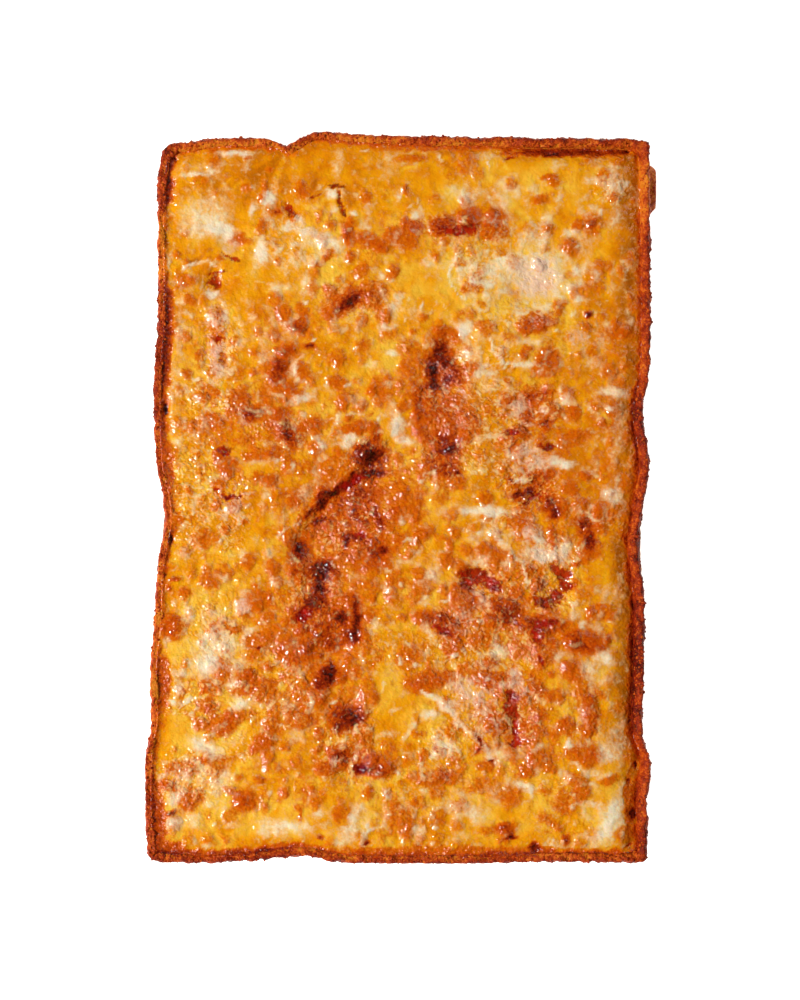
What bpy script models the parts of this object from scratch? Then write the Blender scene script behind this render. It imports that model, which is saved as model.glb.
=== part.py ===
"""A whole rectangular cheese pan pizza: the baked crust with its rim of fried cheese, and the cheese in it.

Blender units are metres, +Z up. The origin is the middle of the flat underside, +X runs along the short
side and +Y along the long side. Sizes below are in millimetres, and MM turns them into metres where a
vertex is made.
"""

import math

import bmesh
import bpy
from mathutils import Vector, noise

MM = 0.001

# Corners of the rim, seen from above: the pan pizza is a little wider at its lower end.
TOP_LEFT = Vector((-106.9, 161.5))
BOTTOM_LEFT = Vector((-114.2, -166.1))
BOTTOM_RIGHT = Vector((114.2, -166.5))
TOP_RIGHT = Vector((114.7, 163.8))
CORNER_RADIUS = 4.0

# Divisions of the short and the long sides.
SHORT_STEPS = 44
LONG_STEPS = 64

# Heights above the underside.
RIM_HEIGHT = 31.0
CROWN_HEIGHT = 30.0
CRUMB_HEIGHT = 19.0

# Section through the crust's wall.
WALL_TAPER = 4.5
FOOT_RADIUS = 4.0
RIM_THICKNESS = 3.8
RIM_ROUNDING = 1.5
RIM_CREST_INSET = 1.3
INNER_SLOPE = 3.2
LAYER_GAP = 0.45

# Degrees round the foot's rounding, and shares of the wall's height, that the wall has vertices at.
FOOT_TURNS = (35, 90)
WALL_RISES = (0.36, 0.58, 0.80, 0.94)

# How closely each height of the wall follows the wavy rim; the foot follows the straight pan.
FOOT_FOLLOW = 0.2

# The rim stands this far out (or in, if negative) of the straight line between its corners:
# (place along the side, distance out). Places are Y on the long sides and X on the short ones.
LEFT_RIM = (
    (-146, 1.8), (-117, 2.0), (-103, 0.0), (-80, 1.0), (-55, -0.7), (-33, -1.1),
    (-12, -4.3), (1, -3.1), (17, 0.5), (56, 2.2), (81, 1.0), (145, 2.4),
)
BOTTOM_RIM = ((-92, 0.4), (-67, -0.6), (-43, -2.9), (-29, -0.2), (24, 0.7), (69, -0.3))
RIGHT_RIM = (
    (-137, -0.4), (-122, 1.4), (-108, -2.4), (-78, -1.9), (-46, -2.0), (-21, -4.7),
    (-1, -2.0), (15, 0.3), (41, -2.6), (58, 0.5), (126, 0.5),
)
TOP_RIM = (
    (-97, 0.8), (-83, 2.6), (-59, 1.8), (-51, -1.0), (-44, 2.5), (-36, 5.2),
    (-24, 4.1), (1, 2.6), (37, 1.7), (74, 0.9),
)

# Depth of the furrow between the rim and the cheese, below the top of the rim.
LEFT_FURROW = (
    (-160, 2.8), (-40, 3.2), (-10, 4.5), (20, 3.2), (45, 5.5), (60, 3.2),
    (118, 3.2), (135, 8.0), (158, 7.0),
)
BOTTOM_FURROW = ((-110, 3.0), (-60, 4.0), (-40, 5.0), (0, 3.4), (60, 4.5), (108, 8.0))
RIGHT_FURROW = ((-160, 8.0), (-110, 9.0), (-60, 9.0), (0, 7.5), (50, 6.5), (100, 6.0), (158, 8.0))
TOP_FURROW = ((-105, 5.0), (-50, 3.4), (0, 3.4), (40, 5.5), (60, 9.0), (108, 9.0))

# How far in from each side the puffed cheese reaches its full height.
SHOULDER = {"left": 9.0, "bottom": 10.0, "right": 17.0, "top": 12.0}

# Sunken runs where the sauce was ladled. The cheese stayed low on one side of a sharp bank, which is on the
# left going along the bank's points. Width is how far the low side reaches.
BANKS = (
    {
        "points": ((-2.5, 30.0), (-13.5, 18.0), (-28.5, 3.5), (-39.0, -6.0), (-46.0, -17.0)),
        "depth": 2.2,
        "width": 26.0,
    },
    {
        "points": ((17.5, 73.0), (14.5, 58.0), (8.5, 48.0), (7.5, 36.0), (12.5, 20.0)),
        "depth": 1.7,
        "width": 22.0,
    },
)
BANK_STEEPNESS = 4.0
BANK_END_FADE = 14.0

# Round hollows, or swellings where the depth is negative: (x, y, radius, depth).
HOLLOWS = (
    (-38, -40, 13, 1.8), (-30, -68, 12, 1.8), (-24, -96, 12, 1.6), (-21, -122, 12, 1.8),
    (37, -38, 12, 2.0), (72, -42, 11, 2.2), (53, -106, 12, 2.2), (50, -72, 14, 1.2),
    (60, 42, 12, 1.4), (64, 6, 12, 1.8), (-83, 98, 10, 1.4), (-76, 118, 9, 1.2),
    (-50, 130, 14, 1.0), (-84, 66, 10, 1.2), (33, 120, 9, -1.0), (60, 95, 16, 1.0),
)

# The largest blisters of the browned cheese: (x, y, radius, height).
BLISTERS = (
    (-38, 110, 4.5, 0.7), (-16, 119, 4.0, 0.7), (-9, 115, 5.0, 0.8), (-1, 119, 4.5, 0.8), (-24, 90, 7.0, 1.0),
    (-12, 92, 5.5, 0.8), (-46, 78, 4.5, 0.8), (-51, 67, 4.0, 0.8), (-55, 57, 5.5, 0.9), (-73, 118, 4.5, 0.7),
    (6, 122, 4.5, 0.8), (20, 124, 5.0, 0.9), (32, 128, 5.5, 0.9), (44, 127, 5.0, 0.9), (88, 125, 5.0, 0.8),
    (77, 115, 4.5, 0.7), (34, 97, 5.0, 0.7), (89, 101, 6.0, 0.6), (63, 80, 7.5, 0.9), (39, 78, 5.0, 0.7),
    (68, 63, 5.5, 0.9), (100, 76, 5.5, 0.7), (20, 74, 5.0, 0.8), (4, 68, 5.5, 0.7), (5, 59, 5.5, 0.7),
    (-73, 44, 5.5, 0.8), (-67, 38, 4.5, 0.9), (-85, 35, 5.5, 0.8), (-56, 34, 5.5, 0.8), (-50, 28, 5.5, 1.0),
    (-61, 20, 6.5, 0.7), (-81, 18, 4.5, 0.8), (-59, 8, 4.0, 0.8), (-24, 46, 4.5, 0.7), (-8, 49, 6.0, 0.8),
    (-27, 14, 7.0, 0.7), (-89, -19, 5.5, 0.8), (-86, -37, 5.0, 0.8), (-65, -47, 6.0, 0.8), (-104, -59, 6.0, 0.8),
    (-55, -3, 6.0, 0.7), (-43, -33, 6.5, 0.8), (-15, -41, 6.0, 0.7), (-64, -65, 5.5, 0.8), (-48, -70, 7.0, 0.9),
    (-34, -62, 5.5, 0.9), (-81, -77, 5.0, 0.8), (-69, -83, 5.0, 0.9), (-61, -89, 5.0, 0.8), (-36, -87, 6.0, 0.9),
    (-45, -101, 5.5, 0.8), (-78, -103, 5.0, 0.9), (-61, -111, 5.0, 0.9), (-24, -100, 7.0, 1.1), (-16, -111, 6.0, 0.8),
    (-27, -117, 5.0, 1.0), (-12, -122, 7.5, 1.0), (-86, -120, 6.5, 0.8), (-100, -123, 5.5, 0.7), (-96, -138, 5.5, 0.8),
    (-70, -138, 5.5, 0.9), (-26, -144, 5.0, 0.7), (4, -3, 6.0, 0.8), (11, -17, 5.5, 0.8), (43, -26, 6.5, 0.8),
    (53, -32, 4.5, 0.7), (14, 42, 8.0, 1.0), (32, 35, 6.0, 0.8), (19, 15, 7.0, 1.0), (23, 24, 5.5, 1.0),
    (63, 9, 6.5, 1.0), (56, -9, 5.5, 0.8), (61, 41, 7.5, 0.8), (84, -14, 5.0, 0.9), (96, 12, 6.0, 0.6),
    (29, -46, 6.5, 0.9), (48, -50, 6.5, 0.9), (11, -40, 5.0, 0.8), (18, -56, 7.0, 1.0), (25, -66, 6.0, 0.8),
    (65, -58, 7.0, 1.0), (67, -68, 6.0, 0.8), (85, -66, 7.5, 1.0), (79, -78, 5.0, 0.9), (11, -84, 6.5, 0.9),
    (45, -83, 6.0, 0.9), (70, -90, 5.0, 0.8), (88, -98, 6.0, 0.9), (45, -103, 5.5, 0.9), (59, -107, 6.5, 0.8),
    (87, -117, 5.5, 0.9), (64, -118, 5.5, 0.8), (21, -127, 5.5, 0.9), (37, -131, 5.5, 0.7), (51, -135, 5.5, 0.8),
    (81, -129, 5.5, 0.7), (76, -139, 6.0, 0.7), (4, -149, 6.0, 0.7), (48, -151, 4.5, 1.0), (94, -52, 5.5, 0.8),
)

# Relief of the fried wall and of the rim's ragged top edge: (wavelength, height).
WALL_CRAGS = ((24.0, 1.5), (10.0, 1.0))
RIM_CRAGS = ((16.0, 0.9), (6.5, 0.7))
SWELLS = ((70.0, 1.3), (28.0, 0.7))

# A flap of crust that has stuck out of the right-hand wall, near its upper corner.
FLAP = {"y": 144.0, "half_length": 15.0, "height": 18.0, "half_height": 8.0, "out": 4.9}

CRUST_COLOUR = (0.30, 0.085, 0.02, 1.0)
CHEESE_COLOUR = (0.80, 0.38, 0.06, 1.0)


def smoothstep(low, high, value):
    """0 below low, 1 above high, and an S-curve between them."""
    t = min(1.0, max(0.0, (value - low) / (high - low)))
    return t * t * (3.0 - 2.0 * t)


def through(knots, at):
    """A smooth curve through (place, value) knots in rising order, level beyond the ends."""
    if at <= knots[0][0]:
        return knots[0][1]
    if at >= knots[-1][0]:
        return knots[-1][1]
    i = next(n for n in range(len(knots) - 1) if at <= knots[n + 1][0])
    (x0, y0), (x1, y1) = knots[i], knots[i + 1]
    before, after = knots[max(i - 1, 0)], knots[min(i + 2, len(knots) - 1)]
    span = x1 - x0
    slope0 = span * (y1 - before[1]) / (x1 - before[0])
    slope1 = span * (after[1] - y0) / (after[0] - x0)
    t = (at - x0) / span
    return (
        (2 * t**3 - 3 * t**2 + 1) * y0
        + (t**3 - 2 * t**2 + t) * slope0
        + (3 * t**2 - 2 * t**3) * y1
        + (t**3 - t**2) * slope1
    )


def relief(layers, x, y, z=0.0):
    """Smooth noise of several (wavelength, height) layers."""
    total = 0.0
    for number, (wavelength, height) in enumerate(layers):
        shift = 31.7 * number
        total += height * noise.noise(Vector((x / wavelength + shift, y / wavelength, z / wavelength)))
    return total


class Side:
    """One side of the pizza, going anticlockwise seen from above."""

    def __init__(self, name, start, end, axis, steps, rim, furrow):
        self.name, self.start, self.end, self.axis, self.steps = name, start, end, axis, steps
        low, high = sorted((start[axis], end[axis]))
        self.rim = ((low, 0.0), *rim, (high, 0.0))
        self.furrow = furrow
        self.length = (end - start).length
        self.along = (end - start).normalized()
        self.outward = Vector((self.along.y, -self.along.x))

    def point(self, share, inset, follow):
        """The place a share of the way along, moved in by inset, with follow of the rim's waviness."""
        nearest_end = min(share, 1.0 - share) * self.length
        slide, pull = 0.0, 0.0
        if nearest_end < CORNER_RADIUS:
            turn = math.radians(45) * (1.0 - nearest_end / CORNER_RADIUS)
            slide = CORNER_RADIUS * (1.0 - math.sin(turn)) - nearest_end
            pull = CORNER_RADIUS * (1.0 - math.cos(turn))
        if share > 0.5:
            slide = -slide
        start = self.start + inset * (self.along - self.outward)
        end = self.end - inset * (self.along + self.outward)
        out = follow * through(self.rim, self.place_along(share)) - pull
        return start.lerp(end, share) + slide * self.along + out * self.outward

    def place_along(self, share):
        """The place that the rim's and the furrow's knots are given at."""
        return self.start.lerp(self.end, share)[self.axis]

    def furrow_depth(self, share):
        return through(self.furrow, self.place_along(share))


SIDES = (
    Side("left", TOP_LEFT, BOTTOM_LEFT, 1, LONG_STEPS, LEFT_RIM, LEFT_FURROW),
    Side("bottom", BOTTOM_LEFT, BOTTOM_RIGHT, 0, SHORT_STEPS, BOTTOM_RIM, BOTTOM_FURROW),
    Side("right", BOTTOM_RIGHT, TOP_RIGHT, 1, LONG_STEPS, RIGHT_RIM, RIGHT_FURROW),
    Side("top", TOP_RIGHT, TOP_LEFT, 0, SHORT_STEPS, TOP_RIM, TOP_FURROW),
)
LEFT, BOTTOM, RIGHT, TOP = range(4)


def stations():
    """(side, share) for each upright line of the wall, once round from the top left corner."""
    return [(side, step / side.steps) for side in SIDES for step in range(side.steps)]


def rim_top(side, share):
    """Height of the rim's ragged top edge."""
    x, y = side.point(share, 0.0, 1.0)
    return RIM_HEIGHT + relief(RIM_CRAGS, x, y)


def furrow_inset(top, height):
    """How far in the rim's inner face has come at this height."""
    face_top = top - RIM_ROUNDING
    fall = (face_top - height) / (face_top - CRUMB_HEIGHT)
    return RIM_THICKNESS + INNER_SLOPE * max(0.0, fall)


def wall_section(side, share):
    """The crust at one station, from the underside up over the rim and down to the crumb.

    Each row is (inset, height, share of the rim's waviness, share of the wall's crags).
    """
    top = rim_top(side, share)
    section = [(WALL_TAPER + FOOT_RADIUS, 0.0, FOOT_FOLLOW, 0.0)]
    for turn in FOOT_TURNS:
        angle = math.radians(turn)
        section.append(
            (
                WALL_TAPER + FOOT_RADIUS * (1.0 - math.sin(angle)),
                FOOT_RADIUS * (1.0 - math.cos(angle)),
                FOOT_FOLLOW,
                0.4,
            )
        )
    for rise in WALL_RISES:
        follow = FOOT_FOLLOW + (1.0 - FOOT_FOLLOW) * smoothstep(0.3, 1.0, rise)
        section.append((WALL_TAPER * (1.0 - rise), rise * top, follow, 1.0 - smoothstep(0.7, 1.0, rise)))
    section.append((RIM_CREST_INSET, top, 1.0, 0.0))
    section.append((RIM_THICKNESS, top - RIM_ROUNDING, 1.0, 0.0))
    section.append((furrow_inset(top, CRUMB_HEIGHT), CRUMB_HEIGHT, 1.0, 0.0))
    return section


def flap(side, share, height):
    """How far the torn flap sticks out here."""
    if side.name != "right":
        return 0.0
    along = (side.place_along(share) - FLAP["y"]) / FLAP["half_length"]
    up = (height - FLAP["height"]) / FLAP["half_height"]
    off = math.hypot(along, up)
    return FLAP["out"] * (1.0 - smoothstep(0.55, 1.0, off))


def wall_point(side, share, inset, height, follow, crags):
    """A vertex of the crust, in millimetres."""
    place = side.point(share, inset, follow)
    if crags > 0.0:
        out = crags * relief(WALL_CRAGS, place.x, place.y, height) + flap(side, share, height)
        place += out * side.outward
    return Vector((place.x, place.y, height))


def bank_drop(bank, x, y):
    """How far the cheese sinks below the puffed part at this place, beside one bank."""
    here = Vector((x, y))
    points = [Vector(p) for p in bank["points"]]
    last = len(points) - 2
    nearest, across, past_end = None, 0.0, 0.0
    for number, (a, b) in enumerate(zip(points, points[1:])):
        line = b - a
        t = (here - a).dot(line) / line.length_squared
        held = min(1.0, max(0.0, t))
        gap = (here - a.lerp(b, held)).length
        if nearest is None or gap < nearest:
            nearest = gap
            square = (line.x * (here - a).y - line.y * (here - a).x) / line.length
            beyond = (t < 0.0 and number == 0) or (t > 1.0 and number == last)
            across = square if beyond else math.copysign(gap, square)
            past_end = abs(t - held) * line.length
    low = smoothstep(-0.5 * BANK_STEEPNESS, BANK_STEEPNESS, across)
    rise = smoothstep(0.35 * bank["width"], bank["width"], across)
    fade = smoothstep(0.0, BANK_END_FADE, past_end)
    return bank["depth"] * low * (1.0 - rise) * (1.0 - fade)


def cheese_height(x, y, u, v):
    """Height of the melted cheese. u and v run from 0 to 1 across and up the pizza."""
    width, length = SIDES[BOTTOM].length, SIDES[LEFT].length
    edges = (
        (SIDES[LEFT], 1.0 - v, u * width),
        (SIDES[BOTTOM], u, v * length),
        (SIDES[RIGHT], v, (1.0 - u) * width),
        (SIDES[TOP], 1.0 - u, (1.0 - v) * length),
    )
    drops = 0.0
    inland = 1.0
    for side, share, distance in edges:
        lean = 1.0 - min(1.0, distance / SHOULDER[side.name])
        rounding = 1.0 - math.sqrt(max(0.0, 1.0 - lean * lean))
        fall = (CROWN_HEIGHT - RIM_HEIGHT + side.furrow_depth(share)) * rounding
        drops += max(0.0, fall) ** 4
        inland *= 1.0 - lean
    height = CROWN_HEIGHT - drops**0.25
    height += inland * relief(SWELLS, x, y)
    height -= sum(bank_drop(bank, x, y) for bank in BANKS)
    for cx, cy, radius, depth in HOLLOWS:
        off = math.hypot(x - cx, y - cy) / radius
        height -= depth * (1.0 - smoothstep(0.2, 1.0, off))
    for cx, cy, radius, rise in BLISTERS:
        off = math.hypot(x - cx, y - cy) / radius
        if off < 1.0:
            height += rise * math.sqrt(1.0 - off * off)
    return height


def add_ring(mesh, points):
    """A closed ring of vertices from places in millimetres."""
    return [mesh.verts.new(point * MM) for point in points]


def join_rings(mesh, lower, upper):
    """A band of quads between two rings, facing out where the rings go anticlockwise and upper is above."""
    count = len(lower)
    for i in range(count):
        j = (i + 1) % count
        mesh.faces.new((lower[i], lower[j], upper[j], upper[i]))


def material(name, colour, roughness):
    made = bpy.data.materials.new(name)
    made.use_nodes = True
    shader = made.node_tree.nodes["Principled BSDF"]
    shader.inputs["Base Color"].default_value = colour
    shader.inputs["Roughness"].default_value = roughness
    shader.inputs["Metallic"].default_value = 0.0
    made.diffuse_color = colour
    return made


def add_object(name, mesh, made_of):
    """Turns the bmesh into a smooth-shaded object of one closed surface."""
    bmesh.ops.recalc_face_normals(mesh, faces=mesh.faces)
    data = bpy.data.meshes.new(name)
    mesh.to_mesh(data)
    mesh.free()
    data.materials.append(made_of)
    data.shade_smooth()
    data.set_sharp_from_angle(angle=math.radians(50))
    made = bpy.data.objects.new(name, data)
    bpy.context.scene.collection.objects.link(made)
    return made


def build_crust():
    """The dough with its fried wall and rim, hollow on top where the cheese lies."""
    mesh = bmesh.new()
    columns = []
    for side, share in stations():
        columns.append([wall_point(side, share, *row) for row in wall_section(side, share)])
    rings = [add_ring(mesh, row) for row in zip(*columns)]
    for lower, upper in zip(rings, rings[1:]):
        join_rings(mesh, lower, upper)
    mesh.faces.new(rings[0][::-1])
    mesh.faces.new(rings[-1])
    return add_object("crust", mesh, material("crust", CRUST_COLOUR, 0.6))


def cheese_edge(number, share):
    """The cheese's outermost place at one station, against the rim's inner face, in millimetres."""
    if share == 1.0:
        number, share = (number + 1) % len(SIDES), 0.0
    side = SIDES[number]
    top = rim_top(side, share)
    height = RIM_HEIGHT - side.furrow_depth(share)
    inset = furrow_inset(top, height) + LAYER_GAP
    place = side.point(share, inset, 1.0)
    return Vector((place.x, place.y, height))


def inner_point(u, v):
    """A place on the cheese in plan, blended between its four edges."""
    across = (1 - u) * cheese_edge(LEFT, 1.0 - v) + u * cheese_edge(RIGHT, v)
    up = (1 - v) * cheese_edge(BOTTOM, u) + v * cheese_edge(TOP, 1.0 - u)
    low = (1 - u) * cheese_edge(BOTTOM, 0.0) + u * cheese_edge(RIGHT, 0.0)
    high = (1 - u) * cheese_edge(LEFT, 0.0) + u * cheese_edge(TOP, 0.0)
    return across + up - (1 - v) * low - v * high


def build_cheese():
    """The melted cheese: level below, where it lies on the crumb, and puffed and blistered on top."""
    mesh = bmesh.new()
    grid = {}
    for i in range(SHORT_STEPS + 1):
        for j in range(LONG_STEPS + 1):
            u, v = i / SHORT_STEPS, j / LONG_STEPS
            place = inner_point(u, v)
            if 0 < i < SHORT_STEPS and 0 < j < LONG_STEPS:
                place.z = cheese_height(place.x, place.y, u, v)
            grid[i, j] = mesh.verts.new(place * MM)
    for i in range(SHORT_STEPS):
        for j in range(LONG_STEPS):
            mesh.faces.new((grid[i, j], grid[i + 1, j], grid[i + 1, j + 1], grid[i, j + 1]))
    edge = [grid[0, LONG_STEPS - n] for n in range(LONG_STEPS)]
    edge += [grid[n, 0] for n in range(SHORT_STEPS)]
    edge += [grid[SHORT_STEPS, n] for n in range(LONG_STEPS)]
    edge += [grid[SHORT_STEPS - n, LONG_STEPS] for n in range(SHORT_STEPS)]
    base = []
    for side, share in stations():
        inset = furrow_inset(rim_top(side, share), CRUMB_HEIGHT) + LAYER_GAP
        place = side.point(share, inset, 1.0)
        base.append(Vector((place.x, place.y, CRUMB_HEIGHT + LAYER_GAP)))
    base = add_ring(mesh, base)
    join_rings(mesh, base, edge)
    mesh.faces.new(base[::-1])
    return add_object("cheese", mesh, material("cheese", CHEESE_COLOUR, 0.35))


def centre_on_origin(parts):
    """Moves the meshes so that the middle of the whole pizza's box stands on the origin."""
    corners = [vertex.co for part in parts for vertex in part.data.vertices]
    lowest = Vector(min(c[axis] for c in corners) for axis in range(3))
    highest = Vector(max(c[axis] for c in corners) for axis in range(3))
    middle = (lowest + highest) / 2
    for part in parts:
        for vertex in part.data.vertices:
            vertex.co -= Vector((middle.x, middle.y, 0.0))


def main():
    for old in list(bpy.data.objects):
        bpy.data.objects.remove(old)
    centre_on_origin([build_crust(), build_cheese()])


main()
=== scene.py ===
"""Looks of the rectangular cheese pan pizza: browned, blistered cheese inside a rim of fried cheese.

Sizes are in millimetres, and MM turns them into Blender's metres where a vertex is made. Plan places are
measured from the middle of the pan, and PLAN_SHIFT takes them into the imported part's frame. The lists of
marks further down are in that frame, as seen from above with +Y up.
"""

import math
import random

import bmesh
import bpy
import numpy as np
from mathutils import Euler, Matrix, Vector, noise


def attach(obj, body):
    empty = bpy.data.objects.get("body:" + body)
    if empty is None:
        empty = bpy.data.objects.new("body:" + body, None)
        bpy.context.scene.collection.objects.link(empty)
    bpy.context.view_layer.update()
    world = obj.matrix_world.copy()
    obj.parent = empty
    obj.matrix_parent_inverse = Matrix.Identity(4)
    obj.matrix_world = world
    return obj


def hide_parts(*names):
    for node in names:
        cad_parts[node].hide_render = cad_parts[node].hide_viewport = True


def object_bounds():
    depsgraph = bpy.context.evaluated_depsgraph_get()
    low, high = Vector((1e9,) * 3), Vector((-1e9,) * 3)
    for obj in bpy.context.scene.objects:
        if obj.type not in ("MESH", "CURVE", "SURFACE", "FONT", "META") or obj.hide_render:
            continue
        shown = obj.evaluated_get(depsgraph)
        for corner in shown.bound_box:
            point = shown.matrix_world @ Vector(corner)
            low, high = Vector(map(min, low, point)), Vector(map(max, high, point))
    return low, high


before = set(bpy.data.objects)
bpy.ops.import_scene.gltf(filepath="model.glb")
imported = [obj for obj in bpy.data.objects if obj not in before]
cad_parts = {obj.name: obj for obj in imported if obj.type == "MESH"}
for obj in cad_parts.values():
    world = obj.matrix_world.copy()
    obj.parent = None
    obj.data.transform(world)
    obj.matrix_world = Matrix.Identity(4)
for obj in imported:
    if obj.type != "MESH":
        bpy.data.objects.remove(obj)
cad_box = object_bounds()

MM = 0.001
PLAN_SHIFT = (1.43, 0.09)

# Form of the pizza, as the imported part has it
TOP_LEFT = (-106.9, 161.5)
BOTTOM_LEFT = (-114.2, -166.1)
BOTTOM_RIGHT = (114.2, -166.5)
TOP_RIGHT = (114.7, 163.8)
CORNER_RADIUS = 4.0
RIM_HEIGHT = 31.0
CROWN_HEIGHT = 30.0
CRUMB_HEIGHT = 19.0
WALL_TAPER = 4.5
FOOT_RADIUS = 4.0
RIM_THICKNESS = 3.8
RIM_ROUNDING = 1.5
RIM_CREST_INSET = 1.3
INNER_SLOPE = 3.2
FOOT_FOLLOW = 0.2

# Waviness of the rim, as (place along the side, distance out), and depth of the furrow inside it.
LEFT_RIM = (
    (-146, 1.8), (-117, 2.0), (-103, 0.0), (-80, 1.0), (-55, -0.7), (-33, -1.1),
    (-12, -4.3), (1, -3.1), (17, 0.5), (56, 2.2), (81, 1.0), (145, 2.4),
)
BOTTOM_RIM = ((-92, 0.4), (-67, -0.6), (-43, -2.9), (-29, -0.2), (24, 0.7), (69, -0.3))
RIGHT_RIM = (
    (-137, -0.4), (-122, 1.4), (-108, -2.4), (-78, -1.9), (-46, -2.0), (-21, -4.7),
    (-1, -2.0), (15, 0.3), (41, -2.6), (58, 0.5), (126, 0.5),
)
TOP_RIM = (
    (-97, 0.8), (-83, 2.6), (-59, 1.8), (-51, -1.0), (-44, 2.5), (-36, 5.2),
    (-24, 4.1), (1, 2.6), (37, 1.7), (74, 0.9),
)
LEFT_FURROW = (
    (-160, 2.8), (-40, 3.2), (-10, 4.5), (20, 3.2), (45, 5.5), (60, 3.2),
    (118, 3.2), (135, 8.0), (158, 7.0),
)
BOTTOM_FURROW = ((-110, 3.0), (-60, 4.0), (-40, 5.0), (0, 3.4), (60, 4.5), (108, 8.0))
RIGHT_FURROW = ((-160, 8.0), (-110, 9.0), (-60, 9.0), (0, 7.5), (50, 6.5), (100, 6.0), (158, 8.0))
TOP_FURROW = ((-105, 5.0), (-50, 3.4), (0, 3.4), (40, 5.5), (60, 9.0), (108, 9.0))

# Width of the slope from the furrow up to the crown
SHOULDER = {"left": 9.0, "bottom": 10.0, "right": 17.0, "top": 12.0}

# Sunken runs beside a sharp bank, which is on the left going along its points. Width is how far the low
# side reaches.
BANKS = (
    {
        "points": ((-2.5, 30.0), (-13.5, 18.0), (-28.5, 3.5), (-39.0, -6.0), (-46.0, -17.0)),
        "depth": 2.2,
        "width": 26.0,
    },
    {
        "points": ((17.5, 73.0), (14.5, 58.0), (8.5, 48.0), (7.5, 36.0), (12.5, 20.0)),
        "depth": 1.7,
        "width": 22.0,
    },
)
BANK_STEEPNESS = 4.0
BANK_END_FADE = 14.0

# Round hollows, or swellings where the depth is negative: (x, y, radius, depth)
HOLLOWS = (
    (-38, -40, 13, 1.8), (-30, -68, 12, 1.8), (-24, -96, 12, 1.6), (-21, -122, 12, 1.8),
    (37, -38, 12, 2.0), (72, -42, 11, 2.2), (53, -106, 12, 2.2), (50, -72, 14, 1.2),
    (60, 42, 12, 1.4), (64, 6, 12, 1.8), (-83, 98, 10, 1.4), (-76, 118, 9, 1.2),
    (-50, 130, 14, 1.0), (-84, 66, 10, 1.2), (33, 120, 9, -1.0), (60, 95, 16, 1.0),
)

# Unevenness of the wall, the rim's top edge and the cheese, as layers of (wavelength, height)
WALL_CRAGS = ((24.0, 1.5), (10.0, 1.0))
RIM_CRAGS = ((16.0, 0.9), (6.5, 0.7))
SWELLS = ((70.0, 1.3), (28.0, 0.7))

# A torn flap of crust that sticks out of the right-hand wall, near its upper corner
FLAP = {"y": 144.0, "half_length": 15.0, "height": 18.0, "half_height": 8.0, "out": 4.9}

# The cheese climbs the rim's inner face, by this share of the furrow's depth and over this width.
FILLET_RISE = {"left": 0.95, "bottom": 0.75, "right": 0.5, "top": 0.5}
FILLET_REACH = {"left": 6.0, "bottom": 4.5, "right": 3.5, "top": 3.5}

# How far the rim falls from its crest towards the cheese, as a share of RIM_ROUNDING. CREST_FALL_GAIN makes
# up for the part of the fall's curve that lies past the rim's inner edge.
CREST_FALL = {"left": 0.3, "bottom": 0.6, "right": 1.0, "top": 0.8}
CREST_FALL_END = 1.5 * RIM_THICKNESS
CREST_FALL_GAIN = 1.6

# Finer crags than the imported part's, (wavelength, height): on the fried band and on the rim's crest
FRIED_CRAGS = ((3.6, 0.8), (1.7, 0.6))
CREST_CRAGS = ((4.5, 0.7), (2.0, 0.6))
DOUGH_CRAG_SHARE = 0.3
FLAP_FRYING = 0.25

# Beads of fried cheese on the rim
CRUMB_SEED = 3
CRUMB_COUNT = 2800
CRUMB_RADIUS = (0.5, 1.15)
CRUMB_SUNK = 0.3
CRUMB_LUMPINESS = 0.25
CRUMB_ZONES = (0.80, 2.15)

# Fineness of the meshes
CHEESE_COLUMNS = 250
CHEESE_ROWS = 368
RIM_STEP = 0.95
FOOT_ROWS = 5
WALL_ROWS = 26
CREST_ROWS = 9
INNER_ROWS = 8

# Share of the rim's height where the wall ends and the crest begins
WALL_TOP = 0.94

# How far the cheese reaches into the rim, and how far it stays above the crumb
EDGE_OVERLAP = 0.9
BASE_GAP = 0.45

# The cheese's reach each way in the part's frame, and how far out marks are strewn at random
CHEESE_HALF_WIDTH = 111.0
CHEESE_HALF_LENGTH = 162.5
STREWN_X = 106
STREWN_Y = 158

# Marks strewn at random
STREWN_SEED = 5
SHRED_COUNT = 520
SPOT_TRIES = 2600
SPOT_SPACING = 6.2
FLECK_COUNT = 620

# How many times its own half length a mark may reach from its middle
MARK_REACH = 2.1

# How far marks are bent out of plain ovals: (size of the swells, strength), and the share for blisters
MARK_BENDS = ((4.3, 1.1), (1.9, 0.6))
BLISTER_BEND = 0.55

# Fine relief of the cheese's top, in millimetres: (size, height, seed), then what each mark raises or sinks
GRAIN_RELIEF = ((6.0, 0.42, 21), (2.6, 0.17, 22))
BLISTER_RELIEF = 1.45
WRINKLE_RELIEF = 0.22
WHITE_RELIEF = 0.25
SAUCE_SINK = 0.5
PIT_SINK = 1.2
WRINKLE_LENGTH = 8.0
WRINKLE_WIDTH = 2.3
RELIEF_FADE = 3.0

# Bump of the cheese's skin, in millimetres, and its gloss
TINY_BUMP = 0.015
FINE_BUMP = 0.035
PEBBLE_BUMP = 0.15
MIDDLING_BUMP = 0.18
STREAK_BUMP = 0.07
DRY_BUMP = 0.1
CHEESE_ROUGHNESS = 0.10
CHEESE_SPECULAR = 0.34
CHEESE_GLOW_WEIGHT = 0.6
CHEESE_GLOW_RADIUS = (1.0, 0.6, 0.3)
CHEESE_GLOW_DEPTH = 1.0
CRUST_ROUGHNESS = 0.5
CRUST_SPECULAR = 0.12
CRUMB_ROUGHNESS = 0.42
CRUMB_SPECULAR = 0.15

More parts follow.
